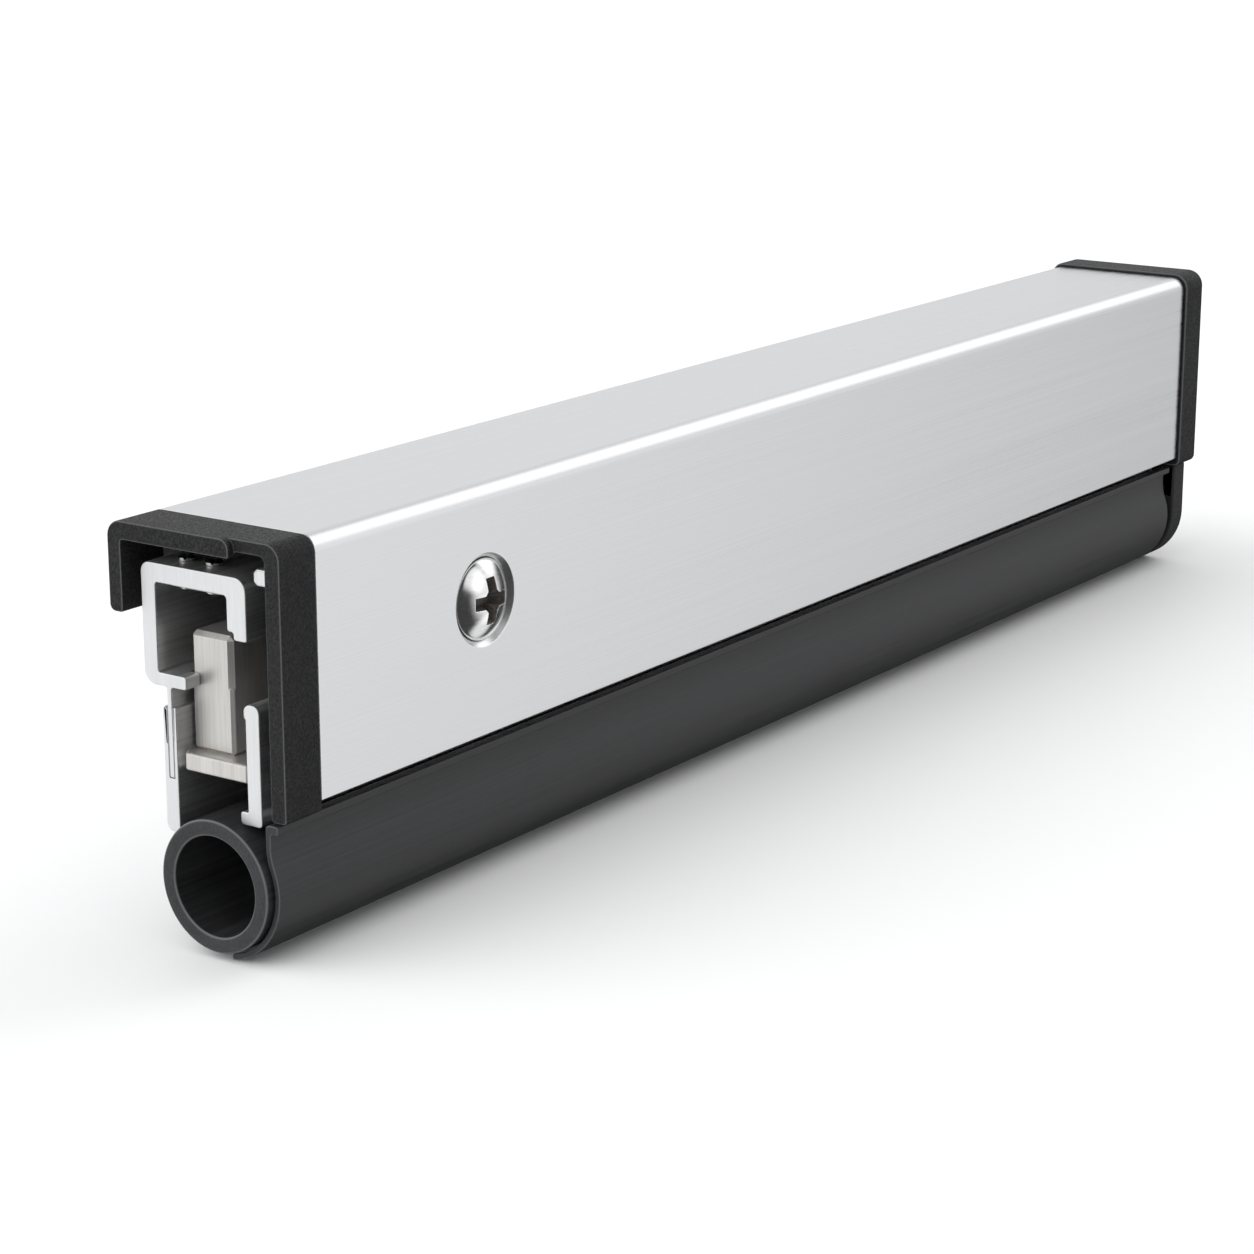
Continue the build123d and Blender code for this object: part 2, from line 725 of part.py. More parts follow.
# Cross plates: steel spreaders whose tabs pass through both drop walls
plate_names = ("near_cross_plate", "first_lift_plate", "second_lift_plate", "far_cross_plate")
screwed_places = [near_block_centre, lift_places[0], lift_places[1]]
for name, centre in zip(plate_names, plate_centres):
    with BuildPart() as cross_plate:
        with BuildSketch(level(plate_bottom)):
            with Locations((centre, (inner_front + inner_back) / 2)):
                body_face = Rectangle(plate_length, inner_back - inner_front)
            chamfer(body_face.vertices(), plate_corner)
            with Locations((centre, (drop_front_face + drop_back_face) / 2)):
                Rectangle(plate_tab, drop_back_face - drop_front_face)
        extrude(amount=plate_thick)
        screw_places = [place for place in screwed_places if abs(place - centre) < plate_length / 2]
        if screw_places:
            with BuildSketch(level(plate_bottom)):
                with Locations([(place, block_centre) for place in screw_places]):
                    Circle(block_screw_head)
            extrude(amount=block_screw_head - block_screw_radius, taper=45, mode=Mode.SUBTRACT)
            with BuildSketch(level(plate_bottom)):
                with Locations([(place, block_centre) for place in screw_places]):
                    Circle(block_screw_radius + stem_fit)
            extrude(amount=plate_thick, mode=Mode.SUBTRACT)
    finish(cross_plate, name)

# Block screws: countersunk from below the plates into the blocks
with BuildPart() as block_screws:
    with BuildSketch(level(plate_bottom)):
        with Locations([(place, block_centre) for place in screwed_places]):
            Circle(block_screw_head - stem_fit)
    extrude(amount=block_screw_head - block_screw_radius, taper=45)
    with BuildSketch(level(plate_bottom)):
        with Locations([(place, block_centre) for place in screwed_places]):
            Circle(block_screw_radius)
    extrude(amount=plate_thick + block_screw_depth)
finish(block_screws, "block_screws")

# Near guide block: a plain steel post on the near plate, in the first window of the rail's lip
with BuildPart() as near_guide_block:
    with BuildSketch(level(plate_top)):
        with Locations((near_block_centre, block_centre)):
            block_foot = Rectangle(near_block_length, block_width)
        chamfer(block_foot.vertices(), near_block_bevel)
    extrude(amount=near_block_top - plate_top)
    chamfer(near_guide_block.faces().sort_by(Axis.Z)[-1].edges(), near_block_bevel)
    with BuildSketch(level(plate_top)):
        with Locations((near_block_centre, block_centre)):
            Circle(block_screw_radius + stem_fit)
    extrude(amount=block_screw_depth + stem_fit, mode=Mode.SUBTRACT)
finish(near_guide_block, "near_guide_block")

# Lift blocks: forked posts that straddle the drive bar, each with a cam pin across the fork
for index, place in enumerate(lift_places):
    with BuildPart() as lift_block:
        with BuildSketch(level(plate_top)):
            with Locations((place, block_centre)):
                RectangleRounded(lift_block_length, block_width, block_round)
        extrude(amount=lift_block_top - plate_top)
        with BuildSketch(across(place - lift_block_length / 2)):
            with Locations((block_centre, (fork_floor + lift_block_top) / 2)):
                Rectangle(bar_thick + 2 * bar_side_gap, lift_block_top - fork_floor)
        extrude(amount=lift_block_length, mode=Mode.SUBTRACT)
        with BuildSketch(facing(block_centre + block_width / 2)):
            with Locations((place, cam_pin_height)):
                Circle(cam_pin_radius)
        extrude(amount=block_width, mode=Mode.SUBTRACT)
        with BuildSketch(level(plate_top)):
            with Locations((place, block_centre)):
                Circle(block_screw_radius + stem_fit)
        extrude(amount=block_screw_depth + stem_fit, mode=Mode.SUBTRACT)
    finish(lift_block, ("first_lift_block", "second_lift_block")[index])
    with BuildPart() as cam_pin:
        with BuildSketch(facing(block_centre + block_width / 2)):
            with Locations((place, cam_pin_height)):
                Circle(cam_pin_radius)
        extrude(amount=block_width)
    finish(cam_pin, ("first_cam_pin", "second_cam_pin")[index])

# Drive bar: a flat steel strip with a sloping cam slot at each lift block, level slots for the
# guide pins and round windows that give access to the door fixings
with BuildPart() as drive_bar:
    with BuildSketch(facing(bar_back)):
        with BuildLine():
            FilletPolyline(
                (nose_start, bar_top),
                (bar_end, bar_top),
                (bar_end, bar_tail_bottom),
                (bar_end - bar_tail, bar_tail_bottom),
                (bar_end - bar_tail, bar_bottom),
                (bar_start, bar_bottom),
                (bar_start, bar_nose_bottom),
                (nose_start, bar_nose_bottom),
                radius=(0, 0, 0, bar_corner, bar_corner, bar_corner, bar_corner, 0),
                close=True,
            )
        make_face()
        with Locations([(place + drop / 2, cam_pin_height - drop / 2) for place in lift_places]):
            SlotCenterToCenter(drop * sqrt(2), cam_slot_width, rotation=-45, mode=Mode.SUBTRACT)
        with Locations([(place + drop / 2, guide_pin_height) for place in guide_pin_places]):
            SlotCenterToCenter(drop, 2 * (guide_pin_radius + slot_gap), mode=Mode.SUBTRACT)
        with Locations([(place, fixing_height) for place in fixing_places]):
            Circle(access_radius, mode=Mode.SUBTRACT)
        with Locations([(place, plunger_height) for place in end_rivet_places]):
            Circle(end_rivet_radius, mode=Mode.SUBTRACT)
    extrude(amount=bar_thick)
    with BuildSketch(across(nose_start)):
        with Locations((block_centre, spring_height)):
            Circle(rod_radius)
    extrude(amount=rod_seat, mode=Mode.SUBTRACT)
finish(drive_bar, "drive_bar")

# Spring guide rod: a pin pressed in the bar's nose that keeps the spring straight
with BuildPart() as spring_guide_rod:
    with BuildSketch(across(nose_start - rod_reach)):
        with Locations((block_centre, spring_height)):
            Circle(rod_radius)
    extrude(amount=rod_reach + rod_seat)
    chamfer(spring_guide_rod.edges().filter_by(GeomType.CIRCLE).sort_by(Axis.X)[0], pin_chamfer)
finish(spring_guide_rod, "spring_guide_rod")

# Return spring: a compression coil between the anchor's tab and the bar's nose
spring_start = anchor_tab_at + spring_wire
spring_end = nose_start - spring_wire
spring_origin = across(spring_start).from_local_coords((block_centre, spring_height, 0))
with BuildPart() as return_spring:
    with BuildLine():
        coil = Helix(
            pitch=(spring_end - spring_start) / spring_turns,
            height=spring_end - spring_start,
            radius=spring_radius,
            center=spring_origin,
            direction=(1, 0, 0),
        )
    with BuildSketch(Plane(origin=coil @ 0, z_dir=coil % 0)):
        RegularPolygon(spring_wire, 6)
    sweep(is_frenet=True)
finish(return_spring, "return_spring")

# Bar end block: slotted over the tail of the drive bar and tapped for the plunger's stem
with BuildPart() as bar_end_block:
    with BuildSketch(across(end_block_start)):
        with Locations((block_centre, plunger_height)):
            RectangleRounded(end_block_width, end_block_height, end_block_round)
    extrude(amount=end_block_length)
    with BuildSketch(across(end_block_start)):
        with Locations((block_centre, plunger_height)):
            Rectangle(bar_thick, end_block_height)
    extrude(amount=end_block_slot, mode=Mode.SUBTRACT)
    with BuildSketch(across(end_block_start + end_block_slot)):
        with Locations((block_centre, plunger_height)):
            Circle(stem_radius + stem_fit)
    extrude(amount=end_block_length - end_block_slot, mode=Mode.SUBTRACT)
    with BuildSketch(facing(block_centre + end_block_width / 2)):
        with Locations([(place, plunger_height) for place in end_rivet_places]):
            Circle(end_rivet_radius)
    extrude(amount=end_block_width, mode=Mode.SUBTRACT)
finish(bar_end_block, "bar_end_block")

# Bar end rivets: two pins through the end block and the bar's tail
with BuildPart() as bar_end_rivets:
    with BuildSketch(facing(block_centre + end_block_width / 2)):
        with Locations([(place, plunger_height) for place in end_rivet_places]):
            Circle(end_rivet_radius)
    extrude(amount=end_block_width)
finish(bar_end_rivets, "bar_end_rivets")

# Plunger: a domed button on a threaded stem that sets how far the seal drops
with BuildPart() as plunger:
    with BuildSketch(across(plunger_start)):
        with Locations((block_centre, plunger_height)):
            Circle(plunger_radius)
    extrude(amount=plunger_end - plunger_start)
    fillet(plunger.faces().sort_by(Axis.X)[-1].edges(), plunger_dome)
    with BuildSketch(across(end_block_start + end_block_slot)):
        with Locations((block_centre, plunger_height)):
            Circle(stem_radius)
    extrude(amount=plunger_start - end_block_start - end_block_slot)
    # Screwdriver slot in the button
    with BuildSketch(across(plunger_end)):
        with Locations((block_centre, plunger_height)):
            Rectangle(2 * plunger_radius, plunger_slot)
    extrude(amount=-plunger_slot_depth, mode=Mode.SUBTRACT)
finish(plunger, "plunger")

# Plunger lock nut: holds the stem's setting against the end block
with BuildPart() as plunger_lock_nut:
    with BuildSketch(across(end_block_end)):
        with Locations((block_centre, plunger_height)):
            RegularPolygon(nut_across / 2, 6, major_radius=False)
            Circle(stem_radius + stem_fit, mode=Mode.SUBTRACT)
    extrude(amount=nut_thick)
finish(plunger_lock_nut, "plunger_lock_nut")

# Bulb tube: a hollow rubber tube with a foot that grips the hook of the front drop wall
foot_front = inner_front + hook_reach + foot_gap
foot_back = inner_back - foot_gap
foot_seat = drop_front_bottom + hook_height + foot_gap
foot_top = foot_seat + foot_rise
foot_bottom = tube_centre_height + tube_radius / 2
with BuildPart() as bulb_tube:
    with BuildSketch(across(tube_start)):
        with Locations((tube_centre_depth, tube_centre_height)):
            Circle(tube_radius)
    extrude(amount=plug_start - tube_start)
    with BuildSketch(across(foot_start)):
        with BuildLine():
            FilletPolyline(
                (foot_front, foot_bottom),
                (foot_front, foot_seat),
                (inner_front + foot_gap, foot_seat),
                (inner_front + foot_gap, foot_top),
                (foot_back, foot_top),
                (foot_back, foot_bottom),
                radius=(0, fine_edge, small_edge, round_edge, round_edge, 0),
                close=True,
            )
        make_face()
    extrude(amount=wall_end - foot_start)
    with BuildSketch(across(tube_start)):
        with Locations((tube_centre_depth, tube_centre_height)):
            Circle(tube_bore)
    extrude(amount=plug_start - tube_start, mode=Mode.SUBTRACT)
finish(bulb_tube, "bulb_tube")

# Seal skirt: a thin rubber strip with a lip at its top, a neck that sweeps out, and a wrap
# round the tube
skirt_end = plug_start - skirt_end_gap
neck_top = skirt_lip_top - skirt_thick / 2
with BuildPart() as seal_skirt:
    with BuildSketch(across(skirt_start)):
        with BuildLine() as skirt_line:
            wrap = CenterArc((tube_centre_depth, tube_centre_height), skirt_middle,
                             skirt_wrap_start, skirt_wrap - skirt_wrap_start)
            neck = Line((skirt_neck, neck_top), (skirt_neck, neck_top - skirt_neck_height))
            Spline(neck @ 1, wrap @ 0, tangents=(neck % 1, wrap % 0))
        trace(line_width=skirt_thick)
        with Locations(((skirt_lip_front + skirt_neck + skirt_thick / 2) / 2, neck_top)):
            Rectangle(skirt_neck + skirt_thick / 2 - skirt_lip_front, skirt_thick)
    extrude(amount=skirt_end - skirt_start)
finish(seal_skirt, "seal_skirt")

# Seal end plug: a U-shaped plate at the far end with a spigot in the tube's bore
plug_top = -cap_below - plug_top_gap
plug_front = tube_centre_depth - skirt_outer
plug_back = tube_centre_depth + skirt_outer
with BuildPart() as seal_end_plug:
    with BuildSketch(across(plug_start)):
        with BuildLine():
            Polyline(
                (plug_front, tube_centre_height),
                (plug_front, plug_top),
                (plug_back, plug_top),
                (plug_back, tube_centre_height),
            )
            CenterArc((tube_centre_depth, tube_centre_height), skirt_outer, 180, 180)
        make_face()
    extrude(amount=plug_thick)
    fillet(seal_end_plug.faces().sort_by(Axis.X)[-1].edges(), plug_edge)
    with BuildSketch(across(plug_start - plug_spigot)):
        with Locations((tube_centre_depth, tube_centre_height)):
            Circle(tube_bore - cap_fit)
    extrude(amount=plug_spigot)
finish(seal_end_plug, "seal_end_plug")
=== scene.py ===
"""Automatic door bottom seal, retracted: drawn aluminium, moulded black caps and a rubber bulb.

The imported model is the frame. Pieces are shaped in millimetres in the casing's own axes, where x is
the distance from the near end, y the depth behind the front face and z the height above the
casing's lower edge, and seat() then puts them in the row frame, in metres.
"""
import json
from collections import namedtuple
from math import cos, hypot, pi, radians, sin, sqrt

import bmesh
import bpy
from mathutils import Euler, Matrix, Vector


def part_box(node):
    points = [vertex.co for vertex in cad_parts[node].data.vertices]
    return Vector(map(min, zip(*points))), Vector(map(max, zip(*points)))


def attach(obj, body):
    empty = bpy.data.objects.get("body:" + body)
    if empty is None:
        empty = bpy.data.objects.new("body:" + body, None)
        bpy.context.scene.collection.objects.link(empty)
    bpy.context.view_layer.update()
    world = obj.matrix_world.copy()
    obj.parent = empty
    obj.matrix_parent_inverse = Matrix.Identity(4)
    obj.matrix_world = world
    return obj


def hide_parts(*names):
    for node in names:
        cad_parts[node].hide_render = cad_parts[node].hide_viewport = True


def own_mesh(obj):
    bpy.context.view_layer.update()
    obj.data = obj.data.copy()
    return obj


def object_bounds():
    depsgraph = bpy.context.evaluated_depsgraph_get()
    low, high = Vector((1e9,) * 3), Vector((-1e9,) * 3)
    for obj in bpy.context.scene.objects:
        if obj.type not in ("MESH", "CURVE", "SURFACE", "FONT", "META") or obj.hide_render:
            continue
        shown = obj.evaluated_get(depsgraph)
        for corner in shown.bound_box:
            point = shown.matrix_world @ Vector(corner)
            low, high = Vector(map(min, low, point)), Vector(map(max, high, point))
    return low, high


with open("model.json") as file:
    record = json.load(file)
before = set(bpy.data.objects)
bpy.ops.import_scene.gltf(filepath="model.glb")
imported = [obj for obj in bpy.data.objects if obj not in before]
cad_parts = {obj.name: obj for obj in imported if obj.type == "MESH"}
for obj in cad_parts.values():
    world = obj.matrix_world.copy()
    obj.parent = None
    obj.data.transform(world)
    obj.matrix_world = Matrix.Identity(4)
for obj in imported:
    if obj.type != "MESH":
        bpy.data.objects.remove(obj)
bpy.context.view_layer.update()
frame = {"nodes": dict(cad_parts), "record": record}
nodes = frame["nodes"]
scene = bpy.context.scene

MM = 0.001
Reach = namedtuple("Reach", "start end front back bottom top")
casing_corner = Vector((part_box("near_end_cap")[0].x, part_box("housing_cover")[0].y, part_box("housing_cover")[0].z))
to_row = Matrix.Translation(casing_corner) @ Matrix.Scale(MM, 4)


def reach(name):
    """Where a node of the frame lies, in millimetres in the casing's own axes."""
    low, high = ((corner - casing_corner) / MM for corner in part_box(name))
    return Reach(low.x, high.x, low.y, high.y, low.z, high.z)


# Sizes of the drawn sections and moulded caps, in millimetres
case_wall = 1.3
case_corner = 1.9
case_deburr = 0.1
section_deburr = 0.14
fine_edge = 0.2
small_edge = 0.35
round_edge = 0.5

near_cap_step = 1.0
near_cap_step_depth = 6.3
near_cap_step_corner = 1.2
near_cap_leg = 2.1
near_cap_back_leg = 1.9
near_cap_arm = 2.1
near_cap_thin_arm = 1.5
near_cap_foot = 0.8
near_cap_gusset = 0.8
near_cap_soft_edge = 0.18
tenon_inset = 4.0
tenon_gap = 0.5
tenon_fit = 0.1
far_cap_corner = 2.5
far_cap_foot = 1.5
far_cap_low_corner = 1.1
far_cap_wall = 2.0
far_cap_rim = 2.5
far_cap_soft_edge = 0.35
key_chamfer = 0.45

rail_back_wall = 2.1
rail_front_wall = 2.8
rail_ceiling = 2.2
rail_lip_thick = 1.5
rail_height = 14.0
rail_front_drop = 7.1
rail_step = 0.9
rail_lip = 4.1
rail_tongue = 0.7
rail_tongue_set = 3.6
rail_outer_corner = 1.6
rail_top_corner = 1.2
window_gap = 0.15
notch_gap = 0.5
fit_gap = 0.05

drop_wall = 2.0
bead_height = 1.5
bead_proud = 0.25
hook_reach = 1.1
hook_height = 1.5
wall_round = 0.9
groove_width = 0.76
groove_lead = 0.35
groove_floor_gap = 0.1
plate_tab = 8.0
plate_corner = 0.7
plate_edge = 0.3
block_bevel = 0.55
block_low_bevel = 0.36
block_shoulder = 8.0
screw_bite = 2.8
block_screw_radius = 1.5

tube_wall = 1.9
tube_rim = 0.3
tube_foot_start = 18.0
tube_foot_rise = 1.1
tube_foot_gap = 0.2
skirt_thick = 0.7
skirt_neck_set = 1.1
skirt_neck_drop = 2.75
skirt_lip = 1.4
skirt_lip_thick = 1.0
skirt_wrap_from = 158
skirt_wrap_to = 260
plug_edge = 0.4

screw_head_radius = 4.85
screw_head_sink = 0.42
screw_recess_radius = 5.6
screw_rim = 0.18
screw_radius = 2.5
screw_fit = 0.2
cross_width = 1.7
cross_span = 7.0
cross_hub = 3.3
cross_depth = 2.4
cross_end_share = 0.42
cross_side_share = 0.72
cross_hub_share = 0.4
cross_lead = 0.3
nut_across = 8.0
thread_pitch = 0.8
thread_height = 0.22
fixing_radius = 2.25
pad_corner = 1.2
pad_rivet_offset = 7.0
pad_rivet_radius = 1.0
pad_rivet_head = 1.7
anchor_rivet_radius = 0.75
anchor_rivet_head = 1.05
rivet_height = 0.5
rivet_slot = 0.36
rivet_slot_turn = 30
guide_pin_radius = 1.25
guide_pin_below_ceiling = 2.7
plunger_radius = 3.0
plunger_fit = 0.08
plunger_length = 18.6
plunger_dome = 1.6
plunger_slot = 0.8
plunger_stem_radius = 2.0
spring_wire = 0.3
spring_turns = 9

case = reach("housing_cover")
near_cap = reach("near_end_cap")
far_cap = reach("far_end_cap")
key = reach("cap_key")
rail = reach("guide_rail")
front_wall = reach("front_drop_wall")
back_wall = reach("back_drop_wall")
tube = reach("bulb_tube")
skirt = reach("seal_skirt")
plug = reach("seal_end_plug")
screw = reach("cover_screw")
nut = reach("cover_nut")
guide_block = reach("near_guide_block")
spring = reach("return_spring")
plunger = reach("plunger")
plate_names = ("near_cross_plate", "first_lift_plate", "second_lift_plate", "far_cross_plate")
plates = [reach(name) for name in plate_names]
blocks = [reach(name) for name in ("near_guide_block", "first_lift_block", "second_lift_block")]
pads = [reach(name) for name in ("near_mounting_pad", "far_mounting_pad")]


def middle(low, high):
    return (low + high) / 2


# Levels and places that several pieces share
leg_bottom = pads[0].top + 0.7
rail_bottom = rail.top - rail_height
rail_front_bottom = rail.top - rail_front_drop
cavity_front = rail.front + rail_front_wall
cavity_back = rail.back - rail_back_wall
cavity_top = rail.top - rail_ceiling
tongue_depth = rail.back - rail_tongue_set
inner_front = front_wall.front + drop_wall
inner_back = back_wall.front
tube_radius = (tube.back - tube.front) / 2
tube_bore = tube_radius - tube_wall
tube_depth = middle(tube.front, tube.back)
tube_height = tube.bottom + tube_radius
screw_place = (middle(screw.start, screw.end), middle(screw.bottom, screw.top))
fixing_height = middle(pads[0].bottom, pads[0].top)
fixing_places = [middle(pad.start, pad.end) for pad in pads]
pad_rivet_places = [place + side * pad_rivet_offset for place in fixing_places for side in (-1, 1)]
guide_pins = reach("bar_guide_pins")
guide_pin_places = [guide_pins.start + guide_pin_radius, guide_pins.end - guide_pin_radius]
rivets = reach("anchor_rivets")
rivet_at = middle(rivets.start, rivets.end)
rivet_depths = [rivets.front + anchor_rivet_head, rivets.back - anchor_rivet_head]
block_depth = middle(guide_block.front, guide_block.back)


# Node tree helpers

def node(tree, kind, inputs=None, **settings):
    """Adds a node and fills its inputs, by socket name or number, with values or other nodes' outputs."""
    made = tree.nodes.new(kind)
    for name, value in settings.items():
        setattr(made, name, value)
    for key, value in (inputs or {}).items():
        if isinstance(value, bpy.types.NodeSocket):
            tree.links.new(value, made.inputs[key])
        else:
            made.inputs[key].default_value = value
    return made


def reckon(tree, operation, *values):
    """The output of a Math node on values or sockets."""
    return node(tree, "ShaderNodeMath", dict(enumerate(values)), operation=operation).outputs[0]


def new_tree(name, kind, takes, gives):
    """A node group with named sockets, and its input and output nodes."""
    tree = bpy.data.node_groups.new(name, kind)
    for label, socket_type, default in takes:
        socket = tree.interface.new_socket(label, in_out="INPUT", socket_type=socket_type)
        if default is not None:
            socket.default_value = default
    for label, socket_type in gives:
        tree.interface.new_socket(label, in_out="OUTPUT", socket_type=socket_type)
    return tree, node(tree, "NodeGroupInput").outputs, node(tree, "NodeGroupOutput").inputs


def run_tree(piece, tree, **sizes):
    """Puts a geometry tree on a piece as a modifier, with its sizes set by socket identifier."""
    modifier = piece.modifiers.new(tree.name, "NODES")
    modifier.node_group = tree
    for item in tree.interface.items_tree:
        key = item.name.lower().replace(" ", "_")
        if item.in_out == "INPUT" and key in sizes:
            modifier[item.identifier] = sizes[key]
    return modifier


# Geometry trees

def drawn_section_tree():
    """Draws a closed outline along X: its corners are rounded by their own radii and both ends deburred."""
    tree, given, result = new_tree("drawn_section", "GeometryNodeTree", [
        ("Outline", "NodeSocketGeometry", None),
        ("Start", "NodeSocketFloat", 0.0),
        ("Length", "NodeSocketFloat", 10.0),
        ("End Round", "NodeSocketFloat", 0.1),
        ("Round Steps", "NodeSocketInt", 3),
        ("Material", "NodeSocketMaterial", None),
    ], [("Geometry", "NodeSocketGeometry")])
    radius = node(tree, "GeometryNodeInputNamedAttribute", {"Name": "corner_radius"}, data_type="FLOAT")
    points = node(tree, "GeometryNodeInputNamedAttribute", {"Name": "corner_points"}, data_type="INT")
    curve = node(tree, "GeometryNodeMeshToCurve", {"Mesh": given["Outline"]})
    rounded = node(tree, "GeometryNodeFilletCurve", {
        "Curve": curve.outputs[0], "Radius": radius.outputs[0], "Count": points.outputs[0],
        "Limit Radius": True}, mode="POLY")
    # Outward is square to the outline, in its plane
    tangent = node(tree, "GeometryNodeInputTangent")
    outward = node(tree, "ShaderNodeVectorMath", {0: tangent.outputs[0], 1: (0, 0, 1)},
                   operation="CROSS_PRODUCT")
    kept = node(tree, "GeometryNodeStoreNamedAttribute", {
        "Geometry": rounded.outputs[0], "Name": "outward", "Value": outward.outputs[0]},
        data_type="FLOAT_VECTOR", domain="POINT")
    flat = node(tree, "GeometryNodeStoreNamedAttribute", {
        "Geometry": kept.outputs[0], "Name": "flat", "Value": node(tree, "GeometryNodeInputPosition").outputs[0]},
        data_type="FLOAT_VECTOR", domain="POINT")
    flat_position = node(tree, "GeometryNodeInputNamedAttribute", {"Name": "flat"}, data_type="FLOAT_VECTOR")
    outward_kept = node(tree, "GeometryNodeInputNamedAttribute", {"Name": "outward"}, data_type="FLOAT_VECTOR")

    def ring_position(inset, along):
        """The outline moved inwards by inset and along the length, stood up from its plane."""
        moved = node(tree, "ShaderNodeVectorMath", {
            0: outward_kept.outputs[0], "Scale": reckon(tree, "MULTIPLY", inset, -1.0)}, operation="SCALE")
        shifted = node(tree, "ShaderNodeVectorMath", {0: flat_position.outputs[0], 1: moved.outputs[0]})
        parts = node(tree, "ShaderNodeSeparateXYZ", {0: shifted.outputs[0]})
        distance = reckon(tree, "ADD", given["Start"], along)
        return node(tree, "ShaderNodeCombineXYZ", {
            0: distance, 1: parts.outputs[0], 2: parts.outputs[1]}).outputs[0]

    loop = node(tree, "GeometryNodeCurveToMesh", {"Curve": flat.outputs[0]})
    first = node(tree, "GeometryNodeSetPosition", {
        "Geometry": loop.outputs[0], "Position": ring_position(given["End Round"], 0.0)})
    begin = node(tree, "GeometryNodeRepeatInput")
    end = node(tree, "GeometryNodeRepeatOutput")
    begin.pair_with_output(end)
    end.repeat_items.new("BOOLEAN", "Newest")
    last_step = reckon(tree, "MULTIPLY_ADD", given["Round Steps"], 2.0, 1.0)
    tree.links.new(last_step, begin.inputs["Iterations"])
    tree.links.new(first.outputs[0], begin.inputs["Geometry"])
    begin.inputs["Newest"].default_value = True
    # Each pass draws one more ring: a quarter round, the straight run, and a quarter round back
    step = reckon(tree, "ADD", begin.outputs["Iteration"], 1.0)
    past = reckon(tree, "GREATER_THAN", step, given["Round Steps"])
    back_step = reckon(tree, "SUBTRACT", last_step, step)
    turn_step = reckon(tree, "ADD", step, reckon(tree, "MULTIPLY", past, reckon(tree, "SUBTRACT", back_step, step)))
    turn = reckon(tree, "MULTIPLY", reckon(tree, "DIVIDE", turn_step, given["Round Steps"]), pi / 2)
    inset = reckon(tree, "MULTIPLY", given["End Round"], reckon(tree, "SUBTRACT", 1.0, reckon(tree, "SINE", turn)))
    run_in = reckon(tree, "MULTIPLY", given["End Round"], reckon(tree, "SUBTRACT", 1.0, reckon(tree, "COSINE", turn)))
    mirrored = reckon(tree, "SUBTRACT", given["Length"], reckon(tree, "MULTIPLY", run_in, 2.0))
    along = reckon(tree, "MULTIPLY_ADD", past, mirrored, run_in)
    drawn = node(tree, "GeometryNodeExtrudeMesh", {
        "Mesh": begin.outputs["Geometry"], "Selection": begin.outputs["Newest"], "Offset Scale": 0.0}, mode="EDGES")
    placed = node(tree, "GeometryNodeSetPosition", {
        "Geometry": drawn.outputs["Mesh"], "Selection": drawn.outputs["Top"],
        "Position": ring_position(inset, along)})
    tree.links.new(placed.outputs[0], end.inputs["Geometry"])
    tree.links.new(drawn.outputs["Top"], end.inputs["Newest"])
    # Both ends are closed by the inset outline
    inner = node(tree, "GeometryNodeSetPosition", {
        "Geometry": flat.outputs[0],
        "Offset": node(tree, "ShaderNodeVectorMath", {
            0: outward_kept.outputs[0], "Scale": reckon(tree, "MULTIPLY", given["End Round"], -1.0)},
            operation="SCALE").outputs[0]})
    face = node(tree, "GeometryNodeFillCurve", {"Curve": inner.outputs[0]}, mode="NGONS")
    ends = []
    for along_end in (0.0, given["Length"]):
        parts = node(tree, "ShaderNodeSeparateXYZ", {0: node(tree, "GeometryNodeInputPosition").outputs[0]})
        distance = reckon(tree, "ADD", given["Start"], along_end)
        stood = node(tree, "ShaderNodeCombineXYZ", {0: distance, 1: parts.outputs[0], 2: parts.outputs[1]})
        ends.append(node(tree, "GeometryNodeSetPosition", {
            "Geometry": face.outputs[0], "Position": stood.outputs[0]}).outputs[0])
    joined = node(tree, "GeometryNodeJoinGeometry")
    for geometry in (end.outputs["Geometry"], *ends):
        tree.links.new(geometry, joined.inputs[0])
    merged = node(tree, "GeometryNodeMergeByDistance", {"Geometry": joined.outputs[0], "Distance": 0.0005})
    painted = node(tree, "GeometryNodeSetMaterial", {"Geometry": merged.outputs[0], "Material": given["Material"]})
    tree.links.new(painted.outputs[0], result["Geometry"])
    return tree


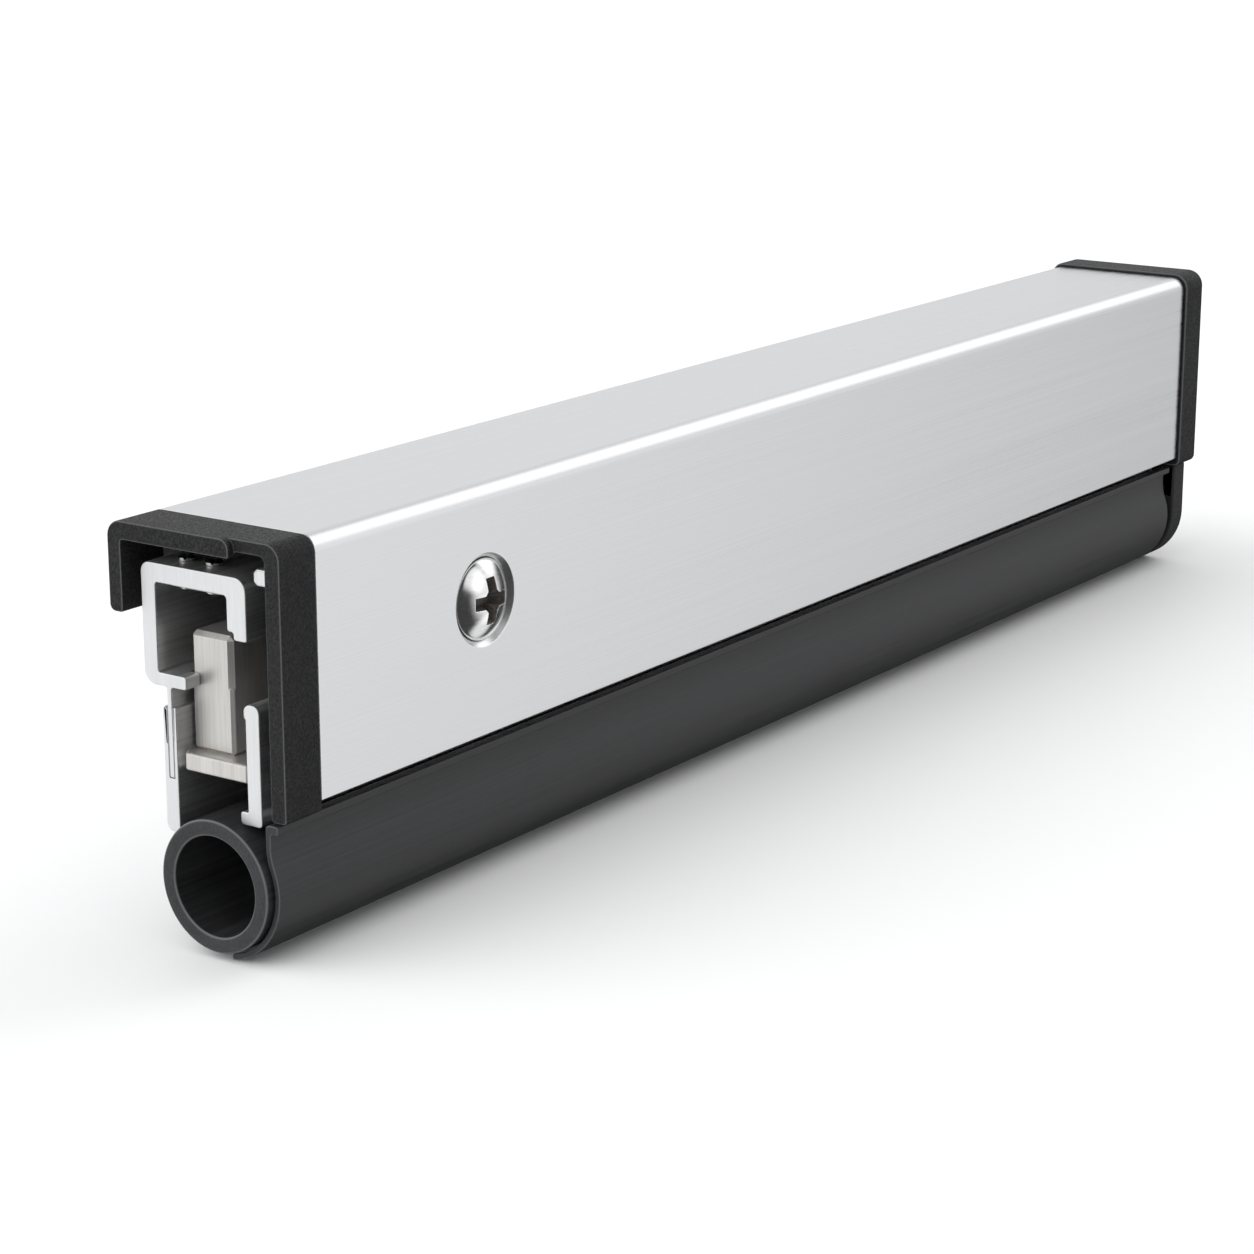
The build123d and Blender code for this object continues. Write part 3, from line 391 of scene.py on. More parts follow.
def turned_tree():
    """Turns an open profile, x the radius and y the way along, round the Z axis."""
    tree, given, result = new_tree("turned", "GeometryNodeTree", [
        ("Profile", "NodeSocketGeometry", None),
        ("Segments", "NodeSocketInt", 64),
        ("Material", "NodeSocketMaterial", None),
    ], [("Geometry", "NodeSocketGeometry")])
    radius = node(tree, "GeometryNodeInputNamedAttribute", {"Name": "corner_radius"}, data_type="FLOAT")
    points = node(tree, "GeometryNodeInputNamedAttribute", {"Name": "corner_points"}, data_type="INT")
    curve = node(tree, "GeometryNodeMeshToCurve", {"Mesh": given["Profile"]})
    rounded = node(tree, "GeometryNodeFilletCurve", {
        "Curve": curve.outputs[0], "Radius": radius.outputs[0], "Count": points.outputs[0],
        "Limit Radius": True}, mode="POLY")
    stored = node(tree, "GeometryNodeStoreNamedAttribute", {
        "Geometry": rounded.outputs[0], "Name": "flat", "Value": node(tree, "GeometryNodeInputPosition").outputs[0]},
        data_type="FLOAT_VECTOR", domain="POINT")
    line = node(tree, "GeometryNodeCurveToMesh", {"Curve": stored.outputs[0]})
    flat = node(tree, "GeometryNodeInputNamedAttribute", {"Name": "flat"}, data_type="FLOAT_VECTOR")
    parts = node(tree, "ShaderNodeSeparateXYZ", {0: flat.outputs[0]})

    def turned_position(angle):
        return node(tree, "ShaderNodeCombineXYZ", {
            0: reckon(tree, "MULTIPLY", parts.outputs[0], reckon(tree, "COSINE", angle)),
            1: reckon(tree, "MULTIPLY", parts.outputs[0], reckon(tree, "SINE", angle)),
            2: parts.outputs[1]}).outputs[0]

    first = node(tree, "GeometryNodeSetPosition", {"Geometry": line.outputs[0], "Position": turned_position(0.0)})
    begin = node(tree, "GeometryNodeRepeatInput")
    end = node(tree, "GeometryNodeRepeatOutput")
    begin.pair_with_output(end)
    end.repeat_items.new("BOOLEAN", "Newest")
    tree.links.new(given["Segments"], begin.inputs["Iterations"])
    tree.links.new(first.outputs[0], begin.inputs["Geometry"])
    begin.inputs["Newest"].default_value = True
    share = reckon(tree, "DIVIDE", reckon(tree, "ADD", begin.outputs["Iteration"], 1.0), given["Segments"])
    swept = node(tree, "GeometryNodeExtrudeMesh", {
        "Mesh": begin.outputs["Geometry"], "Selection": begin.outputs["Newest"], "Offset Scale": 0.0}, mode="EDGES")
    placed = node(tree, "GeometryNodeSetPosition", {
        "Geometry": swept.outputs["Mesh"], "Selection": swept.outputs["Top"],
        "Position": turned_position(reckon(tree, "MULTIPLY", share, 2 * pi))})
    tree.links.new(placed.outputs[0], end.inputs["Geometry"])
    tree.links.new(swept.outputs["Top"], end.inputs["Newest"])
    merged = node(tree, "GeometryNodeMergeByDistance", {
        "Geometry": end.outputs["Geometry"], "Distance": 0.0005})
    painted = node(tree, "GeometryNodeSetMaterial", {"Geometry": merged.outputs[0], "Material": given["Material"]})
    tree.links.new(painted.outputs[0], result["Geometry"])
    return tree


def coil_tree():
    """Winds a round wire, or a thread's ridge, up the Z axis."""
    tree, given, result = new_tree("coil", "GeometryNodeTree", [
        ("Geometry", "NodeSocketGeometry", None),
        ("Radius", "NodeSocketFloat", 1.6),
        ("Height", "NodeSocketFloat", 10.0),
        ("Turns", "NodeSocketFloat", 9.0),
        ("Wire", "NodeSocketFloat", 0.3),
        ("Wire Sides", "NodeSocketInt", 16),
        ("Turn Points", "NodeSocketInt", 48),
        ("Material", "NodeSocketMaterial", None),
    ], [("Geometry", "NodeSocketGeometry")])
    line = node(tree, "GeometryNodeCurveSpiral", {
        "Resolution": given["Turn Points"], "Rotations": given["Turns"], "Start Radius": given["Radius"],
        "End Radius": given["Radius"], "Height": given["Height"]})
    wire = node(tree, "GeometryNodeCurvePrimitiveCircle", {
        "Resolution": given["Wire Sides"], "Radius": given["Wire"]}, mode="RADIUS")
    swept = node(tree, "GeometryNodeCurveToMesh", {
        "Curve": line.outputs[0], "Profile Curve": wire.outputs[0], "Fill Caps": True})
    painted = node(tree, "GeometryNodeSetMaterial", {"Geometry": swept.outputs[0], "Material": given["Material"]})
    tree.links.new(painted.outputs[0], result["Geometry"])
    return tree


def row_of_tree():
    """Puts a copy of a shape at each point of the piece."""
    tree, given, result = new_tree("row_of", "GeometryNodeTree", [
        ("Places", "NodeSocketGeometry", None),
        ("Shape", "NodeSocketObject", None),
        ("Material", "NodeSocketMaterial", None),
    ], [("Geometry", "NodeSocketGeometry")])
    shape = node(tree, "GeometryNodeObjectInfo", {"Object": given["Shape"]}, transform_space="ORIGINAL")
    copies = node(tree, "GeometryNodeInstanceOnPoints", {
        "Points": given["Places"], "Instance": shape.outputs["Geometry"]})
    whole = node(tree, "GeometryNodeRealizeInstances", {"Geometry": copies.outputs[0]})
    painted = node(tree, "GeometryNodeSetMaterial", {"Geometry": whole.outputs[0], "Material": given["Material"]})
    tree.links.new(painted.outputs[0], result["Geometry"])
    return tree


def crisp_edges_tree():
    """Smooth rounds, with every edge that is sharper than the angle kept crisp."""
    tree, given, result = new_tree("crisp_edges", "GeometryNodeTree", [
        ("Geometry", "NodeSocketGeometry", None),
        ("Angle", "NodeSocketFloat", 0.5),
    ], [("Geometry", "NodeSocketGeometry")])
    smooth = node(tree, "GeometryNodeSetShadeSmooth", {"Geometry": given["Geometry"], "Shade Smooth": True})
    bend = node(tree, "GeometryNodeInputMeshEdgeAngle").outputs["Unsigned Angle"]
    sharp = node(tree, "FunctionNodeCompare", {"A": bend, "B": given["Angle"]}, data_type="FLOAT",
                 operation="GREATER_THAN").outputs[0]
    crisp = node(tree, "GeometryNodeSetShadeSmooth", {
        "Geometry": smooth.outputs[0], "Selection": sharp, "Shade Smooth": False}, domain="EDGE")
    tree.links.new(crisp.outputs[0], result["Geometry"])
    return tree


drawn_section = drawn_section_tree()
turned = turned_tree()
coil = coil_tree()
row_of = row_of_tree()
crisp_edges = crisp_edges_tree()


# Shader groups shared by several materials

def streaks_group():
    """Fine parallel scratches along the vector's X axis, with broader soft bands under them."""
    group, given, result = new_tree("parallel_streaks", "ShaderNodeTree", [
        ("Vector", "NodeSocketVector", None),
        ("Length", "NodeSocketFloat", 0.03),
        ("Width", "NodeSocketFloat", 0.0002),
    ], [("Fine", "NodeSocketFloat"), ("Broad", "NodeSocketFloat")])
    for output, coarser, detail in (("Fine", 1.0, 3.0), ("Broad", 9.0, 2.0)):
        along = reckon(group, "DIVIDE", 1.0 / coarser, given["Length"])
        across = reckon(group, "DIVIDE", 1.0 / coarser, given["Width"])
        scale = node(group, "ShaderNodeCombineXYZ", {0: along, 1: across, 2: across})
        stretched = node(group, "ShaderNodeVectorMath", {0: given["Vector"], 1: scale.outputs[0]},
                         operation="MULTIPLY")
        noise = node(group, "ShaderNodeTexNoise", {
            "Vector": stretched.outputs[0], "Scale": 1.0, "Detail": detail, "Roughness": 0.55})
        group.links.new(noise.outputs[0], result[output])
    return group


def grain_group():
    """The fine leathery grain of a moulded or extruded surface."""
    group, given, result = new_tree("moulded_grain", "ShaderNodeTree", [
        ("Vector", "NodeSocketVector", None),
        ("Grain", "NodeSocketFloat", 0.0003),
    ], [("Height", "NodeSocketFloat"), ("Patches", "NodeSocketFloat")])
    scale = reckon(group, "DIVIDE", 1.0, given["Grain"])
    cells = node(group, "ShaderNodeTexVoronoi", {"Vector": given["Vector"], "Scale": scale},
                 feature="SMOOTH_F1")
    speckle = node(group, "ShaderNodeTexNoise", {
        "Vector": given["Vector"], "Scale": reckon(group, "MULTIPLY", scale, 1.7), "Detail": 3.0})
    group.links.new(reckon(group, "MULTIPLY_ADD", cells.outputs[0], 0.6, speckle.outputs[0]), result["Height"])
    patches = node(group, "ShaderNodeTexNoise", {
        "Vector": given["Vector"], "Scale": reckon(group, "MULTIPLY", scale, 0.03), "Detail": 2.0})
    group.links.new(patches.outputs[0], result["Patches"])
    return group


def edge_group():
    """Where the surface bends sharply and where a section's end is deburred, as a mask for painted edge highlights, and
    the normal of a softened edge.
    """
    group, given, result = new_tree("broken_edges", "ShaderNodeTree", [
        ("Width", "NodeSocketFloat", 0.0003),
        ("Strength", "NodeSocketFloat", 3.0),
        ("Sideways", "NodeSocketFloat", 0.0),
    ], [("Mask", "NodeSocketFloat"), ("Normal", "NodeSocketVector")])
    rounded = node(group, "ShaderNodeBevel", {"Radius": given["Width"]}, samples=4)
    geometry = node(group, "ShaderNodeNewGeometry")
    close = node(group, "ShaderNodeVectorMath", {0: rounded.outputs[0], 1: geometry.outputs["Normal"]},
                 operation="DOT_PRODUCT")
    bend = reckon(group, "SUBTRACT", 1.0, close.outputs["Value"])
    sharp = reckon(group, "MULTIPLY", bend, given["Strength"])
    # An end's broken edge lies halfway between facing along the length and facing across it
    square = reckon(group, "MULTIPLY", given["Sideways"], given["Sideways"])
    halfway = reckon(group, "MULTIPLY", reckon(group, "MULTIPLY", square, reckon(group, "SUBTRACT", 1.0, square)), 4.0)
    limited = node(group, "ShaderNodeClamp", {0: reckon(group, "MAXIMUM", sharp, halfway)})
    group.links.new(limited.outputs[0], result["Mask"])
    softened = node(group, "ShaderNodeBevel", {"Radius": reckon(group, "MULTIPLY", given["Width"], 0.4)}, samples=4)
    group.links.new(softened.outputs[0], result["Normal"])
    return group


parallel_streaks = streaks_group()
moulded_grain = grain_group()
broken_edges = edge_group()


def new_material(name, shader):
    """A material with one Principled shader, its fixed values set on the shader's own sockets."""
    material = bpy.data.materials.new(name)
    material.use_nodes = True
    tree = material.node_tree
    principled = tree.nodes["Principled BSDF"]
    for label, value in shader.items():
        principled.inputs[label].default_value = value
    return material, tree, principled.inputs


def use_group(tree, group, **values):
    """Places a shader group in a material."""
    placed = node(tree, "ShaderNodeGroup", node_tree=group)
    for label, value in values.items():
        socket = placed.inputs[label.replace("_", " ").title()]
        if isinstance(value, bpy.types.NodeSocket):
            tree.links.new(value, socket)
        else:
            socket.default_value = value
    return placed.outputs


def blend_colour(tree, share, dark, light):
    """Mixes two colours by a value that changes over the surface."""
    mixed = node(tree, "ShaderNodeMix", {"A": (*dark, 1.0), "B": (*light, 1.0)}, data_type="RGBA")
    mixed.inputs[6].default_value = (*dark, 1.0)
    mixed.inputs[7].default_value = (*light, 1.0)
    tree.links.new(share, mixed.inputs[0])
    return mixed.outputs[2]


def stretch(tree, value, low, high, start=0.3, stop=0.7):
    """Spreads a noise value between two levels."""
    return node(tree, "ShaderNodeMapRange", {
        0: value, "From Min": start, "From Max": stop, "To Min": low, "To Max": high}).outputs[0]


def object_vector(tree, turn=(0.0, 0.0, 0.0)):
    """The piece's own coordinates, turned so that the pattern's X runs along the grain."""
    place = node(tree, "ShaderNodeTexCoord").outputs["Object"]
    return node(tree, "ShaderNodeMapping", {"Vector": place, "Rotation": turn}).outputs[0]


def facing_along(tree):
    """How far the surface faces along the length, from -1 to 1."""
    normal = node(tree, "ShaderNodeTexCoord").outputs["Normal"]
    return node(tree, "ShaderNodeSeparateXYZ", {0: normal}).outputs[0]


def on_ends(tree, sideways):
    """1 on faces square to the length, such as sawn ends, and 0 elsewhere."""
    return stretch(tree, reckon(tree, "ABSOLUTE", sideways), 0.0, 1.0, 0.55, 0.8)


def pick(tree, share, first, second):
    """First where share is 0, second where it is 1."""
    return node(tree, "ShaderNodeMix", {0: share, 2: first, 3: second}, data_type="FLOAT").outputs[0]


def add_bump(tree, sockets, height, distance, normal):
    """Relief over a surface whose edges are already rounded by their own normal."""
    bump = node(tree, "ShaderNodeBump", {"Height": height, "Distance": distance, "Normal": normal})
    tree.links.new(bump.outputs[0], sockets["Normal"])


def paint_edge_highlights(tree, base, mask, edge_highlight_tone):
    """The base colour with a painted highlight, in a paler tone, where the mask marks its edges."""
    mixed = node(tree, "ShaderNodeMix", {0: mask, 6: base}, data_type="RGBA")
    mixed.inputs[7].default_value = (*edge_highlight_tone, 1.0)
    return mixed.outputs[2]


def brushed_metal(name, dark, light, rough, length, width, bump, end_length=None, turn=(0.0, 0.0, 0.0),
                  metallic=1.0, edge_width=0.0002):
    """Metal with a straight grain and a painted highlight on its edges; sawn ends have their grain up and down."""
    material, tree, sockets = new_material(name, {"Metallic": metallic})
    grain = use_group(tree, parallel_streaks, vector=object_vector(tree, turn), length=length, width=width)
    fine, broad = grain["Fine"], grain["Broad"]
    if end_length:
        sawn = use_group(tree, parallel_streaks, vector=object_vector(tree, (0.0, pi / 2, 0.0)),
                         length=end_length, width=width)
        ends = on_ends(tree, facing_along(tree))
        fine = pick(tree, ends, fine, sawn["Fine"])
        broad = pick(tree, ends, broad, sawn["Broad"])
    tone = reckon(tree, "MULTIPLY_ADD", broad, 0.35, reckon(tree, "MULTIPLY", fine, 0.65))
    spread = stretch(tree, tone, 0.0, 1.0, 0.35, 0.65)
    if end_length:
        spread = pick(tree, ends, spread, reckon(tree, "MULTIPLY_ADD", spread, 0.35, 0.5))
    edges = use_group(tree, broken_edges, width=edge_width, strength=5.0,
                      sideways=facing_along(tree) if end_length else 0.0)
    # Sharp and deburred edges get a paler base colour than the metal's lightest tone: a painted highlight.
    base = blend_colour(tree, spread, dark, light)
    tree.links.new(paint_edge_highlights(tree, base, edges["Mask"], [min(1.2 * part, 0.95) for part in light]),
                   sockets["Base Color"])
    worn = pick(tree, edges["Mask"], stretch(tree, spread, rough[0], rough[1], 0.0, 1.0), rough[0] * 0.8)
    tree.links.new(worn, sockets["Roughness"])
    add_bump(tree, sockets, fine, bump, edges["Normal"])
    return material


def moulded_black(name, tone, grain, rough, bump, edge_highlight_tone):
    """Black plastic or rubber with a fine grain and a painted highlight, in a paler tone, along its edges."""
    material, tree, sockets = new_material(name, {"Specular IOR Level": 0.15})
    vector = object_vector(tree)
    skin = use_group(tree, moulded_grain, vector=vector, grain=grain)
    speckle = stretch(tree, skin["Height"], 0.0, 1.0, 0.55, 0.95)
    mottle = reckon(tree, "MULTIPLY_ADD", skin["Patches"], 0.4, reckon(tree, "MULTIPLY", speckle, 0.6))
    base = blend_colour(tree, mottle, tuple(0.35 * part for part in tone), tuple(1.9 * part for part in tone))
    edges = use_group(tree, broken_edges, width=0.0003, strength=2.5, sideways=facing_along(tree))
    tree.links.new(paint_edge_highlights(tree, base, edges["Mask"], edge_highlight_tone), sockets["Base Color"])
    tree.links.new(stretch(tree, speckle, rough[1], rough[0], 0.0, 1.0), sockets["Roughness"])
    add_bump(tree, sockets, skin["Height"], bump, edges["Normal"])
    return material


def drawn_rubber(name, tone, rough, bump):
    """Extruded rubber with faint lengthwise streaks, a bloom in patches and a painted highlight, in a paler tone, along
    its edges.
    """
    material, tree, sockets = new_material(name, {"Specular IOR Level": 0.36})
    vector = object_vector(tree)
    lines = use_group(tree, parallel_streaks, vector=vector, length=0.03, width=0.0003)
    skin = use_group(tree, moulded_grain, vector=vector, grain=0.00022)
    streaks = reckon(tree, "MULTIPLY_ADD", lines["Fine"], 0.6, reckon(tree, "MULTIPLY", lines["Broad"], 0.2))
    share = stretch(tree, reckon(tree, "MULTIPLY_ADD", skin["Patches"], 0.2, streaks), 0.0, 1.0, 0.38, 0.62)
    base = blend_colour(tree, share, tuple(0.55 * part for part in tone), tuple(1.5 * part for part in tone))
    edges = use_group(tree, broken_edges, width=0.0003, strength=2.5, sideways=facing_along(tree))
    tree.links.new(paint_edge_highlights(tree, base, edges["Mask"], [5.0 * part for part in tone]), sockets["Base Color"])
    tree.links.new(stretch(tree, share, rough[0], rough[1], 0.0, 1.0), sockets["Roughness"])
    relief = reckon(tree, "MULTIPLY_ADD", lines["Fine"], 0.7, reckon(tree, "MULTIPLY", skin["Height"], 0.3))
    add_bump(tree, sockets, relief, bump, edges["Normal"])
    return material


grain_up = (0.0, pi / 2, 0.0)
materials = {
    "housing_metal": brushed_metal("brushed_housing", (0.665, 0.67, 0.675), (0.74, 0.745, 0.75), (0.26, 0.38),
                                   0.09, 0.0002, 0.000001, edge_width=0.0004),
    "section_metal": brushed_metal("drawn_aluminium", (0.66, 0.665, 0.67), (0.86, 0.865, 0.87), (0.3, 0.46),
                                   0.03, 0.00026, 0.000003, end_length=0.006, metallic=0.94),
    "block_steel": brushed_metal("nickel_block", (0.58, 0.56, 0.535), (0.74, 0.72, 0.69), (0.3, 0.44),
                                 0.008, 0.00016, 0.000003, turn=grain_up, metallic=0.86),
    "bar_steel": brushed_metal("zinc_bar", (0.5, 0.51, 0.52), (0.62, 0.63, 0.64), (0.3, 0.44),
                               0.02, 0.0002, 0.000003),
    "pin_steel": brushed_metal("bright_pin", (0.55, 0.55, 0.54), (0.68, 0.68, 0.66), (0.16, 0.28),
                               0.01, 0.00015, 0.000002),
    "spring_wire": brushed_metal("spring_steel", (0.36, 0.36, 0.37), (0.5, 0.5, 0.51), (0.2, 0.3),
                                 0.01, 0.0001, 0.000001),
    "screw_chrome": brushed_metal("chromed_screw", (0.7, 0.7, 0.695), (0.8, 0.8, 0.795), (0.12, 0.18),
                                  0.006, 0.0003, 0.0000006, edge_width=0.0004),
    # A dark brown for the inside of the cross recess: painted shade where the recess lies in shadow.
    "driver_recess": brushed_metal("driver_recess", (0.05, 0.044, 0.038), (0.14, 0.125, 0.11), (0.35, 0.5),
                                   0.004, 0.0003, 0.000002, metallic=0.2),
    "plunger_brass": brushed_metal("nickelled_brass", (0.58, 0.55, 0.48), (0.7, 0.67, 0.6), (0.16, 0.28),
                                   0.01, 0.00015, 0.0000015),
    # The last colour of each moulded black is the paler tone of its painted edge highlight.
    "cap_plastic": moulded_black("black_cap", (0.0128, 0.013, 0.0135), 0.0003, (0.4, 0.6), 0.0001,
                                 (0.1, 0.1, 0.105)),
    "pad_plastic": moulded_black("black_pad", (0.012, 0.012, 0.013), 0.00034, (0.45, 0.62), 0.00012,
                                 (0.04, 0.04, 0.042)),
    "plug_rubber": moulded_black("black_plug", (0.018, 0.018, 0.019), 0.0002, (0.5, 0.62), 0.00001,
                                 (0.032, 0.032, 0.034)),
    "tube_rubber": drawn_rubber("tube_rubber", (0.023, 0.0234, 0.0248), (0.46, 0.6), 0.000008),
    "skirt_rubber": drawn_rubber("skirt_rubber", (0.0185, 0.019, 0.0204), (0.38, 0.52), 0.000008),
}
slot_of = {part["node"]: part["material_slot"] for part in frame["record"]["subparts"]}


# Shaping

def link(name, mesh):
    """Adds a mesh to the scene at the origin."""
    piece = bpy.data.objects.new(name, mesh)
    scene.collection.objects.link(piece)
    return piece


def line_of(name, corners, closed, corner_points):
    """A line of corners, each (x, y, radius) and its own count of points if it isn't the usual, as edges."""
    if closed:
        area = sum(a[0] * b[1] - b[0] * a[1] for a, b in zip(corners, corners[1:] + corners[:1]))
        corners = corners if area > 0 else corners[::-1]
    count = len(corners)
    mesh = bpy.data.meshes.new(name)
    edges = [(i, (i + 1) % count) for i in range(count if closed else count - 1)]
    mesh.from_pydata([(corner[0], corner[1], 0.0) for corner in corners], edges, [])
    radii = mesh.attributes.new("corner_radius", "FLOAT", "POINT")
    radii.data.foreach_set("value", [corner[2] for corner in corners])
    points = mesh.attributes.new("corner_points", "INT", "POINT")
    points.data.foreach_set("value", [corner[3] if len(corner) > 3 else corner_points if corner[2] else 1
                                      for corner in corners])
    return link(name, mesh)


def settle(piece):
    """Turns a piece and its modifiers into one plain closed mesh whose faces point outwards."""
    graph = bpy.context.evaluated_depsgraph_get()
    mesh = bpy.data.meshes.new_from_object(piece.evaluated_get(graph))
    piece.modifiers.clear()
    piece.data = mesh
    shell = bmesh.new()
    shell.from_mesh(mesh)
    bmesh.ops.recalc_face_normals(shell, faces=shell.faces)
    shell.to_mesh(mesh)
    shell.free()
    for spare in ("outward", "flat", "corner_radius", "corner_points"):
        if spare in mesh.attributes:
            mesh.attributes.remove(mesh.attributes[spare])
    return piece


# How a section's own axes, the way along first, stand in the casing's axes
stands = {
    "length": Matrix(((1, 0, 0), (0, 1, 0), (0, 0, 1))).to_4x4(),
    "height": Matrix(((0, 1, 0), (0, 0, 1), (1, 0, 0))).to_4x4(),
    "depth": Matrix(((0, 1, 0), (1, 0, 0), (0, 0, 1))).to_4x4(),
}


def drawn(name, corners, start, end, end_round, slot, corner_points=8, along="length"):
    """A section with this outline, drawn along the length, the height or the depth of the casing."""
    piece = line_of(name, corners, True, corner_points)
    run_tree(piece, drawn_section, start=float(start), length=float(end - start), end_round=end_round,
             material=materials[slot])
    settle(piece)
    piece.data.transform(stands[along])
    if stands[along].determinant() < 0:
        piece.data.flip_normals()
    return piece


def lathe(name, profile, slot, axis="Z", place=(0.0, 0.0, 0.0), segments=96, corner_points=5, closed=False):
    """A turned piece: the profile is (radius, way along), and the way along runs on the axis from place."""
    piece = line_of(name, profile, closed, corner_points)
    run_tree(piece, turned, segments=segments, material=materials[slot])
    settle(piece)
    turns = {"Z": Euler((0, 0, 0)), "X": Euler((0, pi / 2, 0)), "Y": Euler((-pi / 2, 0, 0))}
    piece.data.transform(Matrix.Translation(place) @ turns[axis].to_matrix().to_4x4())
    return piece


def block(name, low, high, slot, narrowing=(1.0, 1.0), turn=0.0):
    """A box between two corners, for cuts and tenons; its deep end may be narrower, in length and height."""
    size = [b - a for a, b in zip(low, high)]
    centre = Vector([middle(a, b) for a, b in zip(low, high)])
    shell = bmesh.new()
    bmesh.ops.create_cube(shell, size=1.0)
    for vert in shell.verts:
        deep = vert.co.y > 0
        vert.co.x *= narrowing[0] if deep else 1.0
        vert.co.z *= narrowing[1] if deep else 1.0
    bmesh.ops.scale(shell, vec=size, verts=shell.verts)
    bmesh.ops.rotate(shell, matrix=Matrix.Rotation(turn, 3, "Y"), verts=shell.verts)
    bmesh.ops.translate(shell, vec=centre, verts=shell.verts)
    mesh = bpy.data.meshes.new(name)
    shell.to_mesh(mesh)
    shell.free()
    mesh.materials.append(materials[slot])
    return link(name, mesh)


def row(name, shape, places, slot):
    """Copies of a shape at each place, as one piece."""
    mesh = bpy.data.meshes.new(name)
    mesh.from_pydata(places, [], [])
    piece = link(name, mesh)
    run_tree(piece, row_of, shape=shape, material=materials[slot])
    settle(piece)
    bpy.data.objects.remove(shape)
    return piece


def pegs(name, radius, low, high, axis, places, slot, mouth=0.0):
    """Round cutters on one axis at several places; a mouth rounds the edge at their low end."""
    profile = [(0, low, 0), (radius, low, 0), (radius, high, 0), (0, high, 0)]
    if mouth:
        profile = [(0, low - mouth, 0), (radius + 2 * mouth, low - mouth, 0), (radius + 2 * mouth, low, 0),
                   (radius, low, mouth), (radius, high, 0), (0, high, 0)]
    return row(name, lathe("peg", profile, slot, axis=axis, segments=48), places, slot)


def combine(piece, operation, *others):
    """Cuts other shapes out of a piece, or joins them to it, and removes them."""
    for other in others:
        modifier = piece.modifiers.new(operation.lower(), "BOOLEAN")
        modifier.operation = operation
        modifier.solver = "EXACT"
        modifier.material_mode = "TRANSFER"
        modifier.object = other
        settle(piece)
        bpy.data.objects.remove(other)
    return piece


def break_edges(piece, width, segments, angle=35.0):
    """Bevels every edge that is sharper than the angle."""
    bevel = piece.modifiers.new("break_edges", "BEVEL")
    bevel.width = width
    bevel.segments = segments
    bevel.limit_method = "ANGLE"
    bevel.angle_limit = radians(angle)
    return settle(piece)


def thread(name, radius, length, axis, place, slot):
    """The ridge of a screw thread along an axis."""
    mesh = bpy.data.meshes.new(name)
    piece = link(name, mesh)
    run_tree(piece, coil, radius=radius, height=float(length), turns=length / thread_pitch,
             wire=thread_height, wire_sides=4, material=materials[slot])
    settle(piece)
    turns = {"X": Euler((0, pi / 2, 0)), "Y": Euler((-pi / 2, 0, 0))}
    piece.data.transform(Matrix.Translation(place) @ turns[axis].to_matrix().to_4x4())
    return piece


def gather(piece, *others):
    """Adds the meshes of other closed shapes to a piece as they are."""
    shell = bmesh.new()
    shell.from_mesh(piece.data)
    for other in others:
        shell.from_mesh(other.data)
        bpy.data.objects.remove(other)
    shell.to_mesh(piece.data)
    shell.free()
    return piece


def shade(piece, angle=32.0):
    """Smooth rounds and flat flats: edges sharper than the angle stay crisp."""
    for face in piece.data.polygons:
        face.use_smooth = True
    piece.data.set_sharp_from_angle(angle=radians(angle))
    weighted = piece.modifiers.new("even_flats", "WEIGHTED_NORMAL")
    weighted.keep_sharp = True
    return piece


def seat(piece, body, *replaced):
    """Puts a finished piece in the row frame, on its body, in place of the frame's own nodes."""
    piece.data.transform(to_row)
    shade(piece)
    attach(piece, body)
    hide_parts(*replaced)
    return piece


# The casing

def add_housing():
    """Brushed cover: a full front, a top and a short back leg, countersunk for its screw."""
    under = case.top - case_wall
    inner = case_corner - case_wall
    cover = drawn("housing", [
        (0, 0, fine_edge), (0, case.top, case_corner), (case.back, case.top, case_corner),
        (case.back, leg_bottom, small_edge), (case.back - case_wall, leg_bottom, small_edge),
        (case.back - case_wall, under, inner), (case_wall, under, inner), (case_wall, 0, fine_edge)],
        case.start, case.end, case_deburr, "housing_metal", corner_points=16)
    out = screw_recess_radius + 2
    mouth = lathe("mouth", [
        (0, -1, 0), (out, -1, 0), (out, -0.01, 0), (screw_recess_radius, -0.01, screw_rim),
        (screw_recess_radius - case_wall - 0.6, case_wall + 0.6, 0), (0, case_wall + 0.6, 0)],
        "housing_metal", axis="Y", place=(screw_place[0], 0.0, screw_place[1]), segments=128)
    combine(cover, "DIFFERENCE", mouth)
    seat(cover, "casing", "housing_cover")


